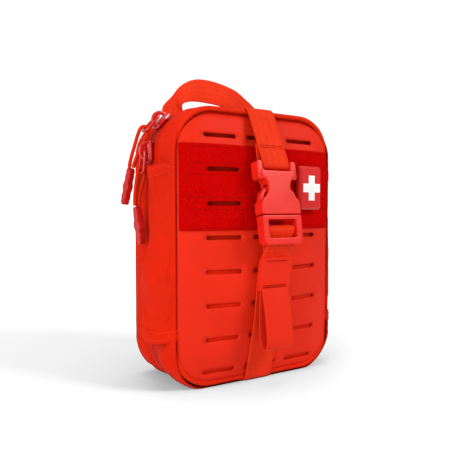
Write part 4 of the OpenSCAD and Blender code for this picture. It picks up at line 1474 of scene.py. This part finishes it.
def flat_pouch(name, node, material, slot, body, swell_cap, voxel=2.4, shrink=1.2):
    """A filled packet: starts inside its solid and swells to it, with a crimped rim."""
    low, high = box_mm(node)
    loop = rounded_loop(low[0] + shrink, low[2] + shrink, high[0] - shrink, high[2] - shrink, 7)
    obj = prism_object([(loop, low[1] + 2.5, high[1] - 2.5)], lambda p: p)
    obj.name = name
    inflated(obj, voxel, 4.0, swell_cap)
    obj.data.materials.clear()
    obj.data.materials.append(material)
    fit(obj, body, slot, node)
    y = (low[1] + high[1]) / 2
    rim = rounded_loop(low[0], low[2], high[0], high[2], 5, 7)
    flat, faces = cut_sheet(rim, [], 6.0)
    crimp = panel(name + "_crimp", flat, faces,
                  lambda x, z, d: np.array([x, y - 0.3 + ripple((x, 0, z), 0.2, 0.5, 8) + d, z]), 0.5,
                  material)
    fit(crimp, body, slot)


def inside_pieces():
    edge = rounded_loop(-66, 12, 66, 196, 22, 8)
    flat, faces = cut_sheet(edge, [], 7.0)
    sheet = panel("organiser_sheet", flat, faces,
                  lambda x, z, d: np.array([x, INNER_Y - 1.6 + ripple((x, 0, z), 0.03, 0.3, 4) + d, z]), 1.2,
                  NYLON_DARK)
    fit(sheet, "rear_half", "nylon", "organiser")
    first = True
    for z in (54, 94):
        points = [(-65, INNER_Y - 2.4), (-62.6, 12), (-61.6, 4), (-59, 0.9), (-48, 0.4), (-37, 1.0),
                  (-30, 1.2),
                  (-20, 1.0), (-9, 1.0), (-5.4, 4), (-4.4, 12), (-2, INNER_Y - 2.4)]
        path = curve_through([(x, y, z) for x, y in points], 1.5)
        t = unit(np.gradient(path, axis=0))
        obj = sweep(f"elastic_{z}", path, np.cross(Z, -t), band(20, 0.9, 10), ELASTIC)
        fit(obj, "rear_half", "elastic", *(("elastic_bands",) if first else ()))
        first = False
    low, high = box_mm("gauze_roll")
    cx, cy = (low[0] + high[0]) / 2, (low[1] + high[1]) / 2
    rings = []
    zs = [low[2], low[2] + 0.3, low[2] + 1, *np.arange(low[2] + 4, high[2] - 2, 3.0), high[2] - 1,
          high[2] - 0.3, high[2]]
    sizes = [5.5, 7.9, 8.8] + [8.9 + 0.12 * math.sin(z) for z in zs[3:-3]] + [8.8, 7.9, 5.5]
    turns = np.arange(48) * 2 * math.pi / 48
    for z, r in zip(zs, sizes):
        rings.append([[cx + (r + 0.10 * math.sin(9 * a)) * math.cos(a), cy + (r + 0.1) * math.sin(a), z]
                      for a in turns])
    rings = np.array(rings)
    roll = add_mesh("gauze", rings.reshape(-1, 3), grid_faces(len(zs), 48, True)
                    + [tuple(range(48)), tuple((len(zs) - 1) * 48 + i for i in range(48))], GAUZE,
                    grid_uvs(rings))
    face_outwards(roll)
    fit(roll, "rear_half", "gauze", "gauze_roll")
    spiral = [[cx + (1.2 + 0.68 * k / 10) * math.cos(k * 0.6), cy + (1.2 + 0.68 * k / 10) * math.sin(k * 0.6),
               high[2] + 0.1] for k in range(62)]
    layers = sweep("gauze_layers", curve_through(spiral, 1.0), Z, band(0.5, 0.5, 3), GAUZE)
    fit(layers, "rear_half", "gauze")
    low, high = box_mm("tape_roll")
    cx, cz = (low[0] + high[0]) / 2, (low[2] + high[2]) / 2
    profile = [(11.2, 0.3), (11.2, 17.7), (12.2, 18.0), (12.6, 17.6)]
    profile += [(12.6 + 0.6 * k, 17.75 - 0.18 * (k % 2)) for k in range(1, 15)]
    profile += [(21.6, 17.6), (21.9, 17.0), (21.9, 1.0), (21.6, 0.4)]
    profile += [(21 - 0.6 * k, 0.25 + 0.18 * (k % 2)) for k in range(1, 15)] + [(12.2, 0.0)]
    turns = np.arange(72) * 2 * math.pi / 72
    verts = np.array([[[cx + r * math.cos(a), low[1] + y, cz + r * math.sin(a)] for r, y in profile]
                      for a in turns])
    n = len(profile)
    faces = [(i * n + j, ((i + 1) % 72) * n + j, ((i + 1) % 72) * n + (j + 1) % n, i * n + (j + 1) % n)
             for i in range(72) for j in range(n)]
    uvs = np.array([[[21 * a, y] for r, y in profile] for a in turns]).reshape(-1, 2)
    tape = add_mesh("cloth_tape_roll", verts.reshape(-1, 3), faces, PACK_TAPE, uvs)
    face_outwards(tape)
    fit(tape, "rear_half", "tape", "tape_roll")
    flat_pouch("bandage_pouch", "pressure_bandage", GREEN, "packet_green", "rear_half", 5.0)
    flat_pouch("glove_pouch", "glove_packet", BLUE, "packet_blue", "rear_half", 3.2)
    flat_pouch("blanket_pouch", "blanket_pack", FOIL, "foil", "front_half", 3.2)
    low, high = box_mm("plaster_pack")
    carton = prism_object([(rounded_loop(low[0], low[2], high[0], high[2], 0.8, 3), low[1], high[1])],
                          lambda p: p)
    carton.name = "plaster_carton"
    repaint(carton, CARTON, False)
    round_edges(carton, 0.5)
    fit(carton, "rear_half", "carton", "plaster_pack")
    shears()
    mesh_pocket()


def shears():
    """Closed bent shears: two blades, a rivet and two finger bows."""
    blade = [(-25, 24), (-22, 20.4), (-17.4, 20), (-13.4, 26), (-13, 50), (-13.2, 70), (-16, 84), (-24, 84),
             (-26, 70)]
    steel = moulded_solid("shears_blades", [(blade, 9.0, 11.0), (round_loop(-20, 74, 3.2), 7.2, 12.8)], [],
                          STEEL,
                          voxel=0.5, rounds=2)
    fit(steel, "rear_half", "steel", "trauma_shears")
    adds = [(rounded_loop(-27, 84.4, -13, 99, 3), 7.2, 12.8), (round_loop(-31, 106, 10.9), 7.4, 12.8),
            (round_loop(-9, 108, 11.9), 7.4, 12.8), (round_loop(-20, 98, 8), 7.4, 12.8)]
    cuts = [(round_loop(-31, 106, 7), 0, 20), (round_loop(-9, 108, 8), 0, 20)]
    bows = moulded_solid("shears_bows", adds, cuts, BLACK, voxel=0.7, rounds=4)
    fit(bows, "rear_half", "black_plastic", "shears_grip")


def mesh_pocket():
    """An open knitted pocket across the inside of the cover, bound round its edge."""
    low, high = box_mm("cover_pocket")
    y = (low[1] + high[1]) / 2
    edge = rounded_loop(low[0] + 1, low[2] + 1, high[0] - 1, high[2] - 1, 19, 8)
    verts, faces, index = [], [], {}
    pitch = 3.6

    def corner(i, j):
        key = (i, j)
        if key not in index:
            index[key] = len(verts)
            verts.append([low[0] + i * pitch / 2, y, low[2] + j * pitch * 0.5])
        return index[key]
    columns, levels = int((high[0] - low[0]) / pitch * 2), int((high[2] - low[2]) / pitch * 2)
    for j in range(1, levels):
        for i in range(1 + j % 2, columns, 2):
            if inside([(low[0] + i * pitch / 2, low[2] + j * pitch / 2)], edge)[0]:
                faces.append((corner(i - 1, j), corner(i, j - 1), corner(i + 1, j), corner(i, j + 1)))
    net = add_mesh("pocket_net", verts, faces, ELASTIC, [[v[0], v[2]] for v in verts])
    modify(net, "WIREFRAME", thickness=0.75 * MM, use_replace=True)
    fit(net, "front_half", "mesh", "cover_pocket")
    path = [(x, y, z) for x, z in rounded_loop(low[0] + 1, low[2] + 1, high[0] - 1, high[2] - 1, 19, 12)]
    rim = sweep("pocket_binding", path, -Y, band(7, 1.4, 6), BINDING, True)
    fit(rim, "front_half", "piping")


inside_pieces()

front_thread.piece("front_stitches", "front_half")
rear_thread.piece("rear_stitches", "rear_half")

# ---- Floor and light ----

FLOOR_HALF = 6000
WORLD_AS_LIGHT, WORLD_SEEN = 0.40, 1.14
LIGHTS_AIM = (0, 0, 0.1)


def stage():
    """A floor that only catches shadows, under a world that looks brighter than it lights."""
    floor = add_mesh("floor", [[x * FLOOR_HALF, y * FLOOR_HALF, 0]
                               for x, y in ((-1, -1), (1, -1), (1, 1), (-1, 1))],
                     [(0, 1, 2, 3)], moulded("floor_paint", (0.86, 0.86, 0.86), 0.6, 0.01, 40.0, 0.01),
                     smooth=False)
    floor.is_shadow_catcher = True
    world = bpy.data.worlds.new("studio")
    bpy.context.scene.world = world
    world.use_nodes = True
    nodes = world.node_tree.nodes
    back = nodes["Background"]
    back.inputs["Color"].default_value = (1, 1, 1, 1)
    seen = nodes.new("ShaderNodeLightPath").outputs["Is Camera Ray"]
    dim = nodes.new("ShaderNodeMapRange")
    dim.inputs["To Min"].default_value = WORLD_AS_LIGHT
    dim.inputs["To Max"].default_value = WORLD_SEEN
    world.node_tree.links.new(seen, dim.inputs["Value"])
    world.node_tree.links.new(dim.outputs[0], back.inputs["Strength"])


def area_light(name, at, size, power):
    data = bpy.data.lights.new(name, "AREA")
    data.energy = power
    data.size = size
    obj = bpy.data.objects.new(name, data)
    obj.location = at
    obj.rotation_euler = (Vector(LIGHTS_AIM) - Vector(at)).to_track_quat("-Z", "Y").to_euler()
    bpy.context.scene.collection.objects.link(obj)


stage()
for name, at, size, power in (("key", (0.75, -1.0, 0.95), 0.5, 10.5), ("left", (-1.2, -0.5, 0.45), 0.9, 11.0),
                              ("top", (0.0, 0.1, 1.4), 0.9, 5.0)):
    area_light(name, at, size, power)
bpy.context.scene.view_settings.view_transform = "Standard"
